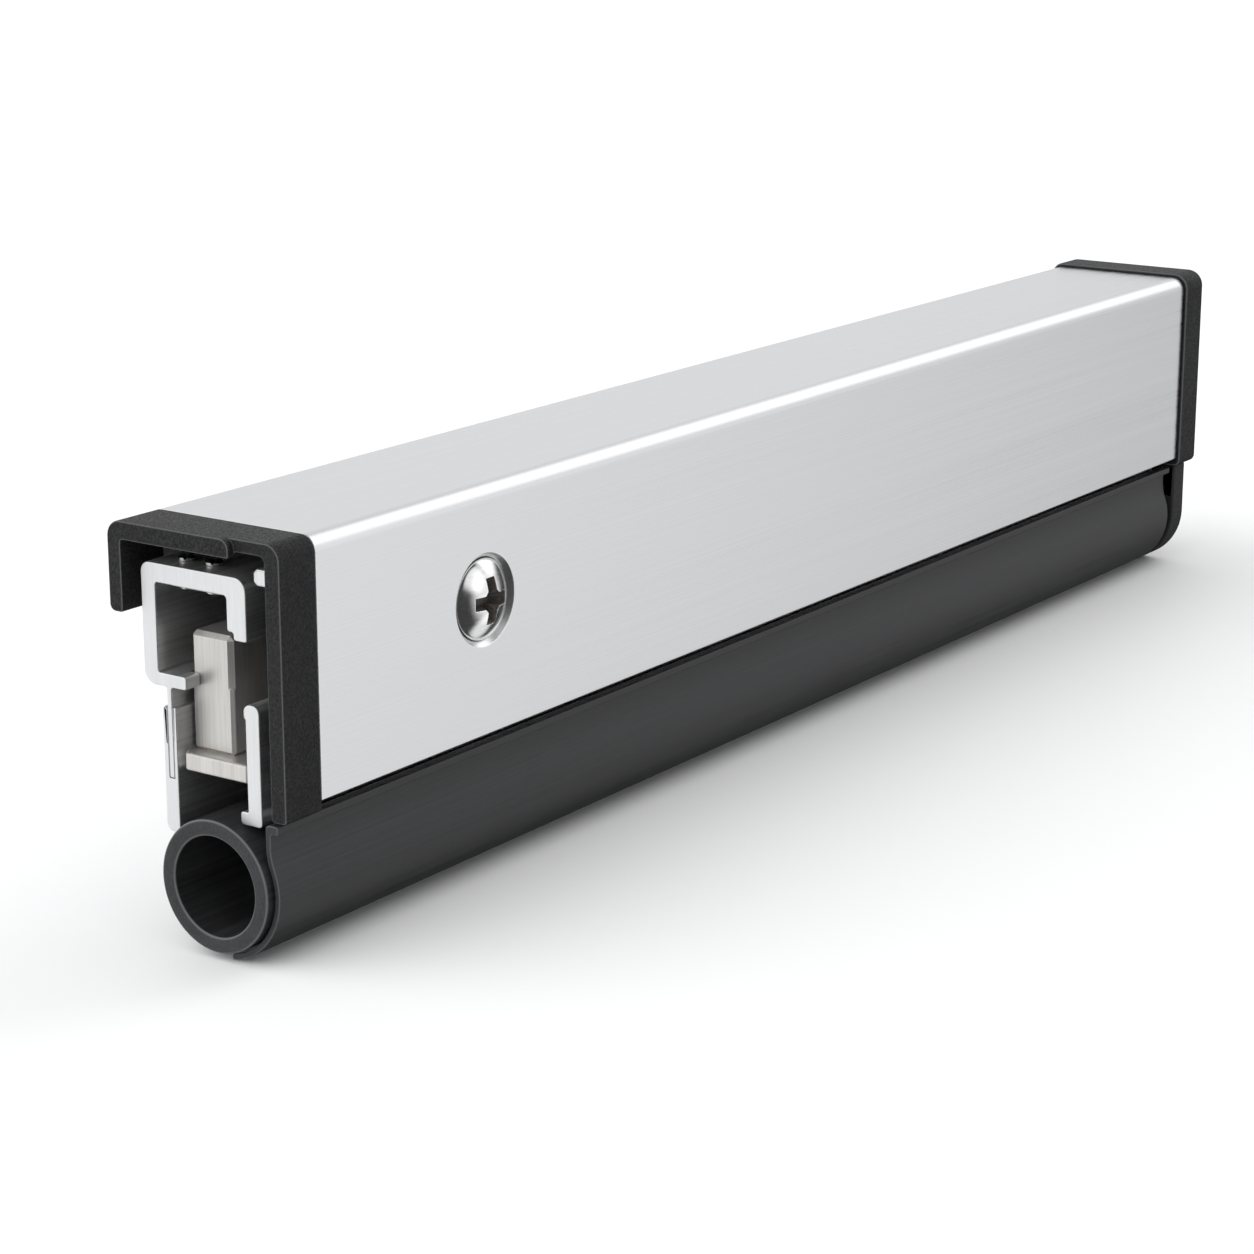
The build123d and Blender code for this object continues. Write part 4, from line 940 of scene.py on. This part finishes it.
def add_near_cap():
    """Moulded open frame: a thin front part, a proud back part and tenons inside the cover."""
    slot = "cap_plastic"
    top, back, low = case.top, case.back, near_cap.bottom
    arm_under = top - near_cap_arm
    thin_under = top - near_cap_thin_arm
    back_inner = back - near_cap_back_leg
    cap = drawn("near_cap", [
        (0, low, round_edge), (0, top, case_corner), (back, top, case_corner),
        (back, leg_bottom, near_cap_foot), (back_inner, leg_bottom, small_edge),
        (back_inner, arm_under, small_edge), (near_cap_step_depth, arm_under, 0.3),
        (near_cap_step_depth, thin_under, 0.3), (near_cap_leg, thin_under, near_cap_gusset),
        (near_cap_leg, low, small_edge)],
        near_cap_step, case.start, near_cap_soft_edge, slot, corner_points=10)
    proud = drawn("proud_part", [
        (near_cap_step_depth, arm_under, 0.3), (near_cap_step_depth, top, near_cap_step_corner),
        (back, top, case_corner), (back, leg_bottom, near_cap_foot), (back_inner, leg_bottom, small_edge),
        (back_inner, arm_under, small_edge)],
        near_cap.start, near_cap_step + 1.0, near_cap_soft_edge, slot, corner_points=10)
    outer = case_wall + tenon_fit
    front_tenon = block("front_tenon", (case.start - 1, outer, tenon_inset),
                        (near_cap.end, near_cap_leg, top - tenon_inset), slot)
    top_tenon = block("top_tenon", (case.start - 1, near_cap_step_depth + tenon_gap, arm_under),
                      (near_cap.end, back_inner - tenon_gap, top - outer), slot)
    combine(cap, "UNION", proud, front_tenon, top_tenon)
    seat(cap, "casing", "near_end_cap")


def add_far_cap():
    """Moulded plate, proud of the cover, with a boss in the rail and a bore for the plunger."""
    slot = "cap_plastic"
    cap = drawn("far_cap", [
        (far_cap.front, far_cap.bottom, far_cap_low_corner), (far_cap.front, far_cap.top, far_cap_corner),
        (far_cap.back, far_cap.top, case_corner), (far_cap.back, far_cap.bottom, far_cap_foot)],
        case.end, far_cap.end, far_cap_soft_edge, slot, corner_points=12)
    recess_end = far_cap.end - far_cap_wall
    recess = block("recess", (case.end - 1, far_cap_rim, far_cap_rim),
                   (recess_end, case.back - far_cap_rim, case.top - far_cap_rim), slot)
    combine(cap, "DIFFERENCE", recess)
    boss = drawn("boss", [
        (cavity_front + fine_edge, rail_bottom + rail_lip_thick + fine_edge, round_edge),
        (cavity_front + fine_edge, cavity_top - fine_edge, round_edge),
        (cavity_back - fine_edge, cavity_top - fine_edge, round_edge),
        (cavity_back - fine_edge, rail_bottom + rail_lip_thick + fine_edge, round_edge)],
        far_cap.start, recess_end + 0.5, small_edge, slot)
    foot = block("boss_foot", (case.end + 0.01, rail.front, rail_bottom + rail_lip_thick + fine_edge),
                 (recess_end + 0.5, rail.back, rail.top), slot)
    combine(cap, "UNION", boss, foot)
    bore = pegs("bore", plunger_radius + plunger_fit, -far_cap.end, -far_cap.start + 1, "X",
                [(0.0, 0.0, 0.0)], slot, mouth=0.3)
    bore.data.transform(Matrix.Translation((0, block_depth, plunger_height)) @ Matrix.Rotation(pi, 4, "Z"))
    combine(cap, "DIFFERENCE", bore)
    seat(cap, "casing", "far_end_cap")


def add_key():
    """Chamfered aluminium nub bonded in the corner of the near cap."""
    nub = drawn("corner_key", [
        (key.front, key.bottom, 0.1), (key.front, key.top, 0.1), (key.back - key_chamfer, key.top, 0.1),
        (key.back, key.top - key_chamfer, 0.1), (key.back, key.bottom + key_chamfer, 0.1),
        (key.back - key_chamfer, key.bottom, 0.1)], key.start, key.end, 0.2, "section_metal", corner_points=4)
    seat(nub, "casing", "cap_key")


def add_rail():
    """C section with a short front wall, a floor lip and a thin tongue, with its windows and holes."""
    slot = "section_metal"
    step_depth = cavity_front - rail_step
    lip_end = cavity_back - rail_lip
    lip_top = rail_bottom + rail_lip_thick
    tongue = (tongue_depth - rail_tongue / 2, tongue_depth + rail_tongue / 2)
    section = drawn("rail", [
        (rail.back, rail_bottom, rail_outer_corner), (rail.back, rail.top, rail_top_corner),
        (rail.front, rail.top, rail_outer_corner), (rail.front, rail_front_bottom, small_edge),
        (step_depth, rail_front_bottom, small_edge), (step_depth, rail_front_bottom + rail_step, small_edge),
        (cavity_front, rail_front_bottom + rail_step, small_edge), (cavity_front, cavity_top, round_edge),
        (cavity_back, cavity_top, small_edge), (cavity_back, lip_top, small_edge), (lip_end, lip_top, small_edge),
        (lip_end, rail_bottom, small_edge), (tongue[0], rail_bottom, small_edge), (tongue[0], rail.bottom, fine_edge),
        (tongue[1], rail.bottom, fine_edge), (tongue[1], rail_bottom, small_edge)],
        rail.start, rail.end, section_deburr, slot, corner_points=8)
    windows = [block("window", (post.start - window_gap, post.front, rail_bottom - 1),
                     (post.end + window_gap, post.back + 2 * window_gap, lip_top + 0.05), slot) for post in blocks]
    notch_top = plates[0].top + notch_gap
    notches = [block("notch", (middle(plate.start, plate.end) - plate_tab / 2 - notch_gap,
                               tongue[0] - notch_gap, rail.bottom - 1),
                     (middle(plate.start, plate.end) + plate_tab / 2 + notch_gap, tongue[1] + notch_gap, notch_top),
                     slot) for plate in plates]
    holes = [
        pegs("screw_hole", screw_radius + screw_fit, rail.front - 1, rail.back + 1, "Y",
             [(screw_place[0], 0.0, screw_place[1])], slot),
        pegs("fixing_holes", fixing_radius, cavity_back - 1, rail.back + 1, "Y",
             [(place, 0.0, fixing_height) for place in fixing_places], slot),
        pegs("pad_rivet_holes", pad_rivet_radius + fit_gap, cavity_back - 1, rail.back + 1, "Y",
             [(place, 0.0, fixing_height) for place in pad_rivet_places], slot),
        pegs("guide_pin_holes", guide_pin_radius + fit_gap, rail.front - 1, rail.back + 1, "Y",
             [(place, 0.0, cavity_top - guide_pin_below_ceiling) for place in guide_pin_places], slot),
        pegs("rivet_holes", anchor_rivet_radius + fit_gap, cavity_top - 1, rail.top + 1, "Z",
             [(rivet_at, depth, 0.0) for depth in rivet_depths], slot),
    ]
    combine(section, "DIFFERENCE", *windows, *notches, *holes)
    seat(section, "casing", "guide_rail")


def add_pads():
    """Plastic spacers that stand against the door, riveted behind the rail."""
    for pad, name in zip(pads, ("near_mounting_pad", "far_mounting_pad")):
        place = middle(pad.start, pad.end)
        shape = drawn(name.replace("mounting_", "door_"), [
            (pad.start, pad.bottom, pad_corner), (pad.start, pad.top, pad_corner), (pad.end, pad.top, pad_corner),
            (pad.end, pad.bottom, pad_corner)], pad.front, pad.back, 0.3, "pad_plastic", along="depth")
        holes = [pegs("fixing_hole", fixing_radius, -pad.back, -pad.front + 1, "Y", [(-place, 0.0, fixing_height)],
                      "pad_plastic", mouth=0.25),
                 pegs("rivet_holes", pad_rivet_radius + fit_gap, -pad.back - 1, -pad.front + 1, "Y",
                      [(-place + side * pad_rivet_offset, 0.0, fixing_height) for side in (-1, 1)], "pad_plastic")]
        for hole in holes:
            hole.data.transform(Matrix.Rotation(pi, 4, "Z"))
        combine(shape, "DIFFERENCE", *holes)
        seat(shape, "casing", name)
    rivet = lathe("pad_rivet", [
        (0, cavity_back - rivet_height, 0), (pad_rivet_head, cavity_back - rivet_height, small_edge),
        (pad_rivet_head, cavity_back, 0.1), (pad_rivet_radius, cavity_back, 0), (pad_rivet_radius, case.back, 0.15),
        (0, case.back, 0)], "pin_steel", axis="Y", segments=48)
    rivet_row = row("door_pad_rivets", rivet, [(place, 0.0, fixing_height) for place in pad_rivet_places], "pin_steel")
    seat(rivet_row, "casing", "pad_rivets")


def add_anchor_rivets():
    """Low slotted heads on top of the rail, spread again under the spring's anchor."""
    low, high = rivets.bottom, rivets.top
    rivet = lathe("rivet", [
        (0, low, 0), (anchor_rivet_head, low, fine_edge), (anchor_rivet_head, low + rivet_height, 0.05),
        (anchor_rivet_radius, low + rivet_height, 0), (anchor_rivet_radius, rail.top, 0),
        (anchor_rivet_head, rail.top, 0.05), (anchor_rivet_head, high, fine_edge), (0, high, 0)],
        "pin_steel", segments=48)
    slot_cut = block("slot", (-rivet_slot / 2, -2, high - rivet_height / 2), (rivet_slot / 2, 2, high + 1), "pin_steel")
    slot_cut.data.transform(Matrix.Rotation(radians(rivet_slot_turn - 90), 4, "Z"))
    combine(rivet, "DIFFERENCE", slot_cut)
    pair = row("spring_anchor_rivets", rivet, [(rivet_at, depth, 0.0) for depth in rivet_depths], "pin_steel")
    seat(pair, "casing", "anchor_rivets")


def add_cover_screw():
    """Polished raised countersunk screw with a cross recess and a threaded tip."""
    slot = "screw_chrome"
    dome = -screw.front
    rise = dome + screw_head_sink
    dome_radius = (screw_head_radius ** 2 + rise ** 2) / (2 * rise)
    steps = 14
    dome_profile = []
    for step in range(steps + 1):
        radius = screw_head_radius * step / steps
        dome_profile.append((radius, dome_radius - dome - sqrt(dome_radius ** 2 - radius ** 2), 0))
    head = lathe("polished_screw", dome_profile + [
        (screw_head_radius + 0.05, screw_head_sink + 0.12, 0.1), (screw_radius, screw_bite, 0.3), (screw_radius - thread_height, 3.2, 0),
        (screw_radius - thread_height, screw.back - 0.5, 0), (screw_radius - 0.6, screw.back, 0.1),
        (0, screw.back, 0)], slot, axis="Y", place=(screw_place[0], 0.0, screw_place[1]), segments=192)
    outside = screw.front - cross_lead
    arms = ((cross_width, cross_span, 0.0, (cross_side_share, cross_end_share)),
            (cross_span, cross_width, 0.0, (cross_end_share, cross_side_share)),
            (cross_hub, cross_hub, pi / 4, (cross_hub_share, cross_hub_share)))
    # The cutters leave their dark brown material on the recess walls: painted shade in the cross recess.
    cuts = [block("cross", (screw_place[0] - wide / 2, outside, screw_place[1] - tall / 2),
                  (screw_place[0] + wide / 2, outside + cross_depth, screw_place[1] + tall / 2), "driver_recess",
                  narrowing=shares, turn=turn) for wide, tall, turn, shares in arms]
    combine(head, "DIFFERENCE", *cuts)
    ridge = thread("screw_thread", screw_radius - thread_height, screw.back - 4.0, "Y",
                   (screw_place[0], 3.4, screw_place[1]), slot)
    gather(head, ridge)
    seat(head, "casing", "cover_screw")


def add_cover_nut():
    """Thin hexagon nut with broken corners."""
    slot = slot_of["cover_nut"]
    across_corners = nut_across / cos(pi / 6) / 2
    hexagon = lathe("thin_nut", [(0, nut.front, 0), (across_corners, nut.front, 0), (across_corners, nut.back, 0.35),
                                 (0, nut.back, 0)], slot, axis="Y", segments=6,
                    place=(screw_place[0], 0.0, screw_place[1]))
    bore = pegs("nut_bore", screw_radius + fit_gap, -nut.back, -nut.front + 1, "Y",
                [(-screw_place[0], 0.0, screw_place[1])], slot, mouth=0.3)
    bore.data.transform(Matrix.Rotation(pi, 4, "Z"))
    combine(hexagon, "DIFFERENCE", bore)
    seat(hexagon, "casing", "cover_nut")


def add_return_spring():
    """Round wire coil, built at one length; nothing here shortens it as the drive bar moves towards its anchor."""
    piece = link("coil_spring", bpy.data.meshes.new("coil_spring"))
    length = spring.end - spring.start - 2 * spring_wire
    coil_radius = (spring.top - spring.bottom) / 2 - spring_wire
    run_tree(piece, coil, radius=coil_radius, height=length, turns=float(spring_turns), wire=spring_wire,
             material=materials["spring_wire"])
    settle(piece)
    piece.data.transform(Matrix.Translation((spring.start + spring_wire, block_depth, middle(spring.bottom, spring.top)))
                         @ Matrix.Rotation(pi / 2, 4, "Y"))
    seat(piece, "casing", "return_spring")
    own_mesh(piece)


# The drop bar

def add_front_wall():
    """Beaded top edge, a hook along the bottom and slots for the plate tabs."""
    slot = "section_metal"
    wall = drawn("front_wall", [
        (front_wall.front, front_wall.bottom, round_edge), (front_wall.front, front_wall.top, wall_round),
        (inner_front + bead_proud, front_wall.top, wall_round),
        (inner_front + bead_proud, front_wall.top - bead_height, 0.08),
        (inner_front, front_wall.top - bead_height - bead_proud, 0.15),
        (inner_front, front_wall.bottom + hook_height, fine_edge),
        (inner_front + hook_reach, front_wall.bottom + hook_height, small_edge),
        (inner_front + hook_reach, front_wall.bottom, round_edge)],
        front_wall.start, front_wall.end, section_deburr, slot)
    combine(wall, "DIFFERENCE", *tab_slots(front_wall.front - 1, inner_front + bead_proud + 0.2))
    seat(wall, "seal_bar", "front_drop_wall")


def add_back_wall():
    """Flat bar with a deep groove for the rail's tongue and slots for the plate tabs."""
    slot = "section_metal"
    groove = (tongue_depth - groove_width / 2, tongue_depth + groove_width / 2)
    floor = rail.bottom - groove_floor_gap
    top = back_wall.top
    wall = drawn("back_wall", [
        (back_wall.front, back_wall.bottom, round_edge), (back_wall.front, top, fine_edge),
        (groove[0] - groove_lead / 4, top, 0.05), (groove[0], top - groove_lead, 0.05),
        (groove[0], floor, fine_edge), (groove[1], floor, fine_edge), (groove[1], top - groove_lead, 0.1),
        (groove[1] + groove_lead, top, 0.1), (back_wall.back, top, fine_edge),
        (back_wall.back, back_wall.bottom, wall_round)], back_wall.start, back_wall.end, section_deburr, slot)
    combine(wall, "DIFFERENCE", *tab_slots(back_wall.front - 1, back_wall.back + 1))
    seat(wall, "seal_bar", "back_drop_wall")


def tab_slots(front, back):
    """Cutters for the slots that take the plates' tabs, through one wall."""
    places = [middle(plate.start, plate.end) for plate in plates]
    return [block("tab_slot", (place - plate_tab / 2 - fit_gap, front, plates[0].bottom - fit_gap),
                  (place + plate_tab / 2 + fit_gap, back, plates[0].top + fit_gap), "section_metal")
            for place in places]


def add_plates():
    """Steel spreaders with rounded edges and cut corners, countersunk below for the block screws."""
    slot = slot_of["near_cross_plate"]
    for plate, name in zip(plates, plate_names):
        place = middle(plate.start, plate.end)
        tab = plate_tab / 2
        right = [(place + tab, plate.back, 0.15), (place + tab, inner_back, 0.15),
                 (plate.end - plate_corner, inner_back, 0.15), (plate.end, inner_back - plate_corner, 0.15),
                 (plate.end, inner_front + plate_corner, 0.15), (plate.end - plate_corner, inner_front, 0.15),
                 (place + tab, inner_front, 0.15), (place + tab, plate.front, 0.15)]
        left = [(2 * place - x, y, radius) for x, y, radius in reversed(right)]
        shape = drawn(name.replace("cross", "spreader").replace("lift", "lifting"), right + left, plate.bottom,
                      plate.top, plate_edge if name == plate_names[0] else 0.15, slot, corner_points=4, along="height")
        for post in blocks:
            if abs(middle(post.start, post.end) - place) < plate_tab:
                sink = lathe("sink", [
                    (0, plate.bottom - 1, 0), (screw_bite + 1, plate.bottom - 1, 0),
                    (block_screw_radius + fit_gap, plate.bottom + screw_bite - block_screw_radius, 0),
                    (block_screw_radius + fit_gap, plate.top + 1, 0), (0, plate.top + 1, 0)], slot,
                    place=(middle(post.start, post.end), block_depth, 0.0), segments=48)
                combine(shape, "DIFFERENCE", sink)
        seat(shape, "seal_bar", name)


def add_guide_block():
    """Steel post with wide chamfers, narrower below the shoulder."""
    slot = slot_of["near_guide_block"]
    low = (guide_block.start, guide_block.front, guide_block.bottom)
    high = (guide_block.end, guide_block.back, guide_block.top)
    post = break_edges(block("guide_post", low, high, slot), block_bevel, 1)
    shoulder = break_edges(block("shoulder", low, (*high[:2], guide_block.bottom + block_shoulder), slot),
                           block_low_bevel, 1)
    combine(post, "UNION", shoulder)
    break_edges(post, 0.1, 3, 20.0)
    seat(post, "seal_bar", "near_guide_block")


# The rubber seal

def add_tube():
    """Hollow bulb with rounded rims and the foot that grips the front wall's hook."""
    slot = "tube_rubber"
    bulb = lathe("bulb", [
        (tube_bore, 0, tube_rim), (tube_radius, 0, tube_rim), (tube_radius, tube.end - tube.start, tube_rim),
        (tube_bore, tube.end - tube.start, tube_rim)], slot, axis="X", place=(tube.start, tube_depth, tube_height),
        segments=160, closed=True)
    foot_front = inner_front + hook_reach + tube_foot_gap
    seat_height = tube.top - tube_foot_rise
    foot = drawn("foot", [
        (foot_front, tube_height + tube_bore + 0.6, 0), (foot_front, seat_height, fine_edge),
        (inner_front + tube_foot_gap, seat_height, small_edge), (inner_front + tube_foot_gap, tube.top, round_edge),
        (inner_back - tube_foot_gap, tube.top, round_edge), (inner_back - tube_foot_gap, tube_height + 3.0, 0),
        (tube_depth + 4.9, tube_height + 3.8, 0), (tube_depth + 1.5, tube_height + tube_bore + 0.6, 0)],
        tube_foot_start, front_wall.end, 0.2, slot)
    combine(bulb, "UNION", foot)
    seat(bulb, "seal_bar", "bulb_tube")


def heading(points, index):
    """The direction of a line of points at one of them."""
    before = points[max(index - 1, 0)]
    after = points[min(index + 1, len(points) - 1)]
    way = hypot(after[0] - before[0], after[1] - before[1])
    return (after[0] - before[0]) / way, (after[1] - before[1]) / way


def add_skirt():
    """Thin strip: a lip under the casing, a neck that sweeps out and a wrap round the tube."""
    half = skirt_thick / 2
    radius = tube_depth - skirt.front - half
    turns = [radians(angle) for angle in range(skirt_wrap_from, skirt_wrap_to + 1, 3)]
    wrap = [(tube_depth + radius * cos(turn), tube_height + radius * sin(turn)) for turn in turns]
    neck = tube_depth - radius + skirt_neck_set
    neck_start = skirt.top - skirt_neck_drop
    drop = neck_start - wrap[0][1]
    away = (-sin(turns[0]) * drop, cos(turns[0]) * drop)
    steps = 14
    bend = []
    for step in range(steps):
        t = step / steps
        # A cubic that leaves the neck straight down and meets the wrap along its own direction
        shares = ((2 * t - 3) * t * t + 1, ((t - 2) * t + 1) * t, (3 - 2 * t) * t * t, (t - 1) * t * t)
        bend.append((shares[0] * neck + shares[2] * wrap[0][0] + shares[3] * away[0],
                     shares[0] * neck_start - shares[1] * drop + shares[2] * wrap[0][1] + shares[3] * away[1]))
    line = [(neck, skirt.top - skirt_lip_thick - 0.4)] + bend + wrap
    sides = ([], [])
    for index, (depth, height) in enumerate(line):
        along = heading(line, index)
        for side, offset in zip(sides, (half, -half)):
            side.append((depth - along[1] * offset, height + along[0] * offset, radius, 1))
    for side in sides:
        side[-1] = (*side[-1][:2], 0.3)
    lip_front = neck - skirt_lip
    strip = drawn("skirt", [(lip_front, skirt.top, 0.22), (neck + half, skirt.top, 0.6)] + sides[0]
                  + sides[1][::-1] + [(neck - half, skirt.top - skirt_lip_thick, 0.3),
                                      (lip_front, skirt.top - skirt_lip_thick, 0.22)],
                  skirt.start, skirt.end, 0.16, "skirt_rubber")
    seat(strip, "seal_bar", "seal_skirt")


def add_end_plug():
    """U-shaped moulded plate at the far end with a spigot in the tube."""
    slot = "plug_rubber"
    radius = tube_depth - skirt.front
    turns = [radians(180 + angle) for angle in range(0, 181, 4)]
    round_end = [(tube_depth + radius * cos(turn), tube_height + radius * sin(turn), radius, 1) for turn in turns]
    plate = drawn("end_plug", [(tube_depth - radius, plug.top, 0.3)] + round_end
                  + [(tube_depth + radius, plug.top, 0.3)], tube.end, plug.end, plug_edge, slot)
    spigot = lathe("spigot", [(0, 0, 0), (tube_bore - tenon_fit, 0, 0.4),
                              (tube_bore - tenon_fit, tube.end - plug.start + 1, 0), (0, tube.end - plug.start + 1, 0)],
                   slot, axis="X", place=(plug.start, tube_depth, tube_height))
    combine(plate, "UNION", spigot)
    seat(plate, "seal_bar", "seal_end_plug")


# The drive

def add_plunger():
    """Domed button on a threaded stem, slotted for a screwdriver."""
    slot = slot_of["plunger"]
    button_start = plunger.end - plunger_length
    button = lathe("push_button", [
        (0, 0, 0), (plunger_stem_radius - thread_height, 0, 0.2),
        (plunger_stem_radius - thread_height, button_start - plunger.start, 0),
        (plunger_radius, button_start - plunger.start, 0.3),
        (plunger_radius, plunger.end - plunger.start, plunger_dome), (0, plunger.end - plunger.start, 0)],
        slot, axis="X", place=(plunger.start, block_depth, plunger_height), segments=128, corner_points=12)
    slot_cut = block("slot", (plunger.end - 1.0, block_depth - 4, plunger_height - plunger_slot / 2),
                     (plunger.end + 1, block_depth + 4, plunger_height + plunger_slot / 2), slot)
    combine(button, "DIFFERENCE", slot_cut)
    ridge = thread("stem_thread", plunger_stem_radius - thread_height, button_start - plunger.start - 0.6, "X",
                   (plunger.start + 0.3, block_depth, plunger_height), slot)
    gather(button, ridge)
    seat(button, "drive", "plunger")


plunger_height = middle(plunger.bottom, plunger.top)
add_housing()
add_near_cap()
add_far_cap()
add_key()
add_rail()
add_pads()
add_anchor_rivets()
add_cover_screw()
add_cover_nut()
add_return_spring()
add_front_wall()
add_back_wall()
add_plates()
add_guide_block()
add_tube()
add_skirt()
add_end_plug()
add_plunger()


# Inner pieces that keep their own meshes get their finish and crisp edges
for name, piece in nodes.items():
    piece.data.materials.clear()
    piece.data.materials.append(materials[slot_of[name]])
    weld = piece.modifiers.new("weld", "WELD")
    weld.merge_threshold = 0.000002
    flats = piece.modifiers.new("flats", "DECIMATE")
    flats.decimate_type = "DISSOLVE"
    flats.angle_limit = radians(1.5)
    run_tree(piece, crisp_edges, angle=radians(30))


# Studio

def add_floor():
    """A plain pale floor under the seal."""
    floor_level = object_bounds()[0].z
    half = 6.0
    mesh = bpy.data.meshes.new("studio_floor")
    mesh.from_pydata([(-half, -half, floor_level), (half, -half, floor_level), (half, half, floor_level),
                      (-half, half, floor_level)], [], [(0, 1, 2, 3)])
    floor = link("studio_floor", mesh)
    material, tree, sockets = new_material("pale_floor", {"Roughness": 0.6, "Specular IOR Level": 0.2})
    sockets["Base Color"].default_value = (0.9, 0.9, 0.9, 1.0)
    # Only its top is there, so that the seal can be looked at from below
    shader = tree.nodes["Principled BSDF"].outputs[0]
    below = node(tree, "ShaderNodeNewGeometry").outputs["Backfacing"]
    clear = node(tree, "ShaderNodeBsdfTransparent").outputs[0]
    shown = node(tree, "ShaderNodeMixShader", {0: below, 1: shader, 2: clear}).outputs[0]
    tree.links.new(shown, tree.nodes["Material Output"].inputs["Surface"])
    mesh.materials.append(material)
    floor.visible_glossy = False


def glow(tree, direction, centre, full, gone, level):
    """A soft panel of light: full within one angle of its centre and gone past the other, in degrees."""
    toward = node(tree, "ShaderNodeVectorMath", {0: direction, 1: Vector(centre).normalized()},
                  operation="DOT_PRODUCT").outputs["Value"]
    return node(tree, "ShaderNodeMapRange", {
        0: toward, "From Min": cos(radians(gone)), "From Max": cos(radians(full)), "To Min": 0.0,
        "To Max": level}, interpolation_type="SMOOTHSTEP").outputs[0]


def add_world():
    """White to the camera, even light on matt surfaces, and broad soft panels in the metal's reflections."""
    world = bpy.data.worlds.new("studio")
    scene.world = world
    world.use_nodes = True
    tree = world.node_tree
    tree.nodes.clear()
    direction = node(tree, "ShaderNodeTexCoord").outputs["Generated"]
    reflected = dim_level
    for centre, full, gone, level in panels:
        reflected = reckon(tree, "ADD", reflected, glow(tree, direction, centre, full, gone, level))
    rise = node(tree, "ShaderNodeSeparateXYZ", {0: direction}).outputs[2]
    even = node(tree, "ShaderNodeMapRange", {0: rise, "To Min": horizon_level, "To Max": zenith_level}).outputs[0]
    even = reckon(tree, "ADD", even, glow(tree, direction, *side_panel))
    levels = (("Is Glossy Ray", reflected), ("Is Camera Ray", 1.0))
    light = node(tree, "ShaderNodeBackground", {"Strength": even}).outputs[0]
    for kind, level in levels:
        seen = node(tree, "ShaderNodeLightPath").outputs[kind]
        shown = node(tree, "ShaderNodeBackground", {"Strength": level})
        light = node(tree, "ShaderNodeMixShader", {0: seen, 1: light, 2: shown.outputs[0]}).outputs[0]
    for background in tree.nodes:
        if background.type == "BACKGROUND":
            background.inputs["Color"].default_value = (0.99, 0.995, 1.0, 1.0)
    node(tree, "ShaderNodeOutputWorld", {"Surface": light})


def add_softbox(name, direction, distance, size, level):
    """A rectangular soft light that looks at the seal from a direction, as bright as its level."""
    light = bpy.data.lights.new(name, "AREA")
    light.shape = "RECTANGLE"
    light.size, light.size_y = size
    light.energy = level * pi * size[0] * size[1]
    lamp = bpy.data.objects.new(name, light)
    lamp.location = Vector(direction).normalized() * distance
    lamp.rotation_euler = Vector(direction).to_track_quat("Z", "Y").to_euler()
    lamp.visible_glossy = False
    scene.collection.objects.link(lamp)


def add_camera():
    """The photograph's viewpoint: low, from the open end, through a long lens."""
    camera = bpy.data.cameras.new("camera")
    camera.sensor_width = 36.0
    camera.lens = 89.25
    viewpoint = bpy.data.objects.new("camera", camera)
    viewpoint.location = (-0.3560, -0.2368, 0.0929)
    pitch_down, turned_right = 15.21, 55.21
    viewpoint.rotation_euler = (radians(90 - pitch_down), 0.0, radians(-turned_right))
    scene.collection.objects.link(viewpoint)
    scene.camera = viewpoint


dim_level = 0.06
horizon_level = 0.42
zenith_level = 0.86
side_panel = ((-0.88, 0.38, 0.3), 20, 66, 2.0)
# Each panel: its direction, the angles within which it is full and past which it is gone, and its level
panels = (
    ((0.62, -0.78, -0.05), 12, 42, 1.06),
    ((-0.55, 0.8, 0.0), 38, 80, 0.86),
    ((0.6, 0.7, 0.38), 14, 58, 0.88),
    ((0.79, -0.26, 0.55), 3, 30, 1.7),
    ((0.2, -0.85, 0.45), 12, 28, 1.0),
    ((0.55, -0.45, -0.7), 8, 22, 0.9),
)
scene.view_settings.view_transform = "Standard"
add_floor()
add_world()
add_softbox("edge_light", (0.79, -0.26, 0.55), 1.5, (0.8, 0.8), 2.8)
add_camera()
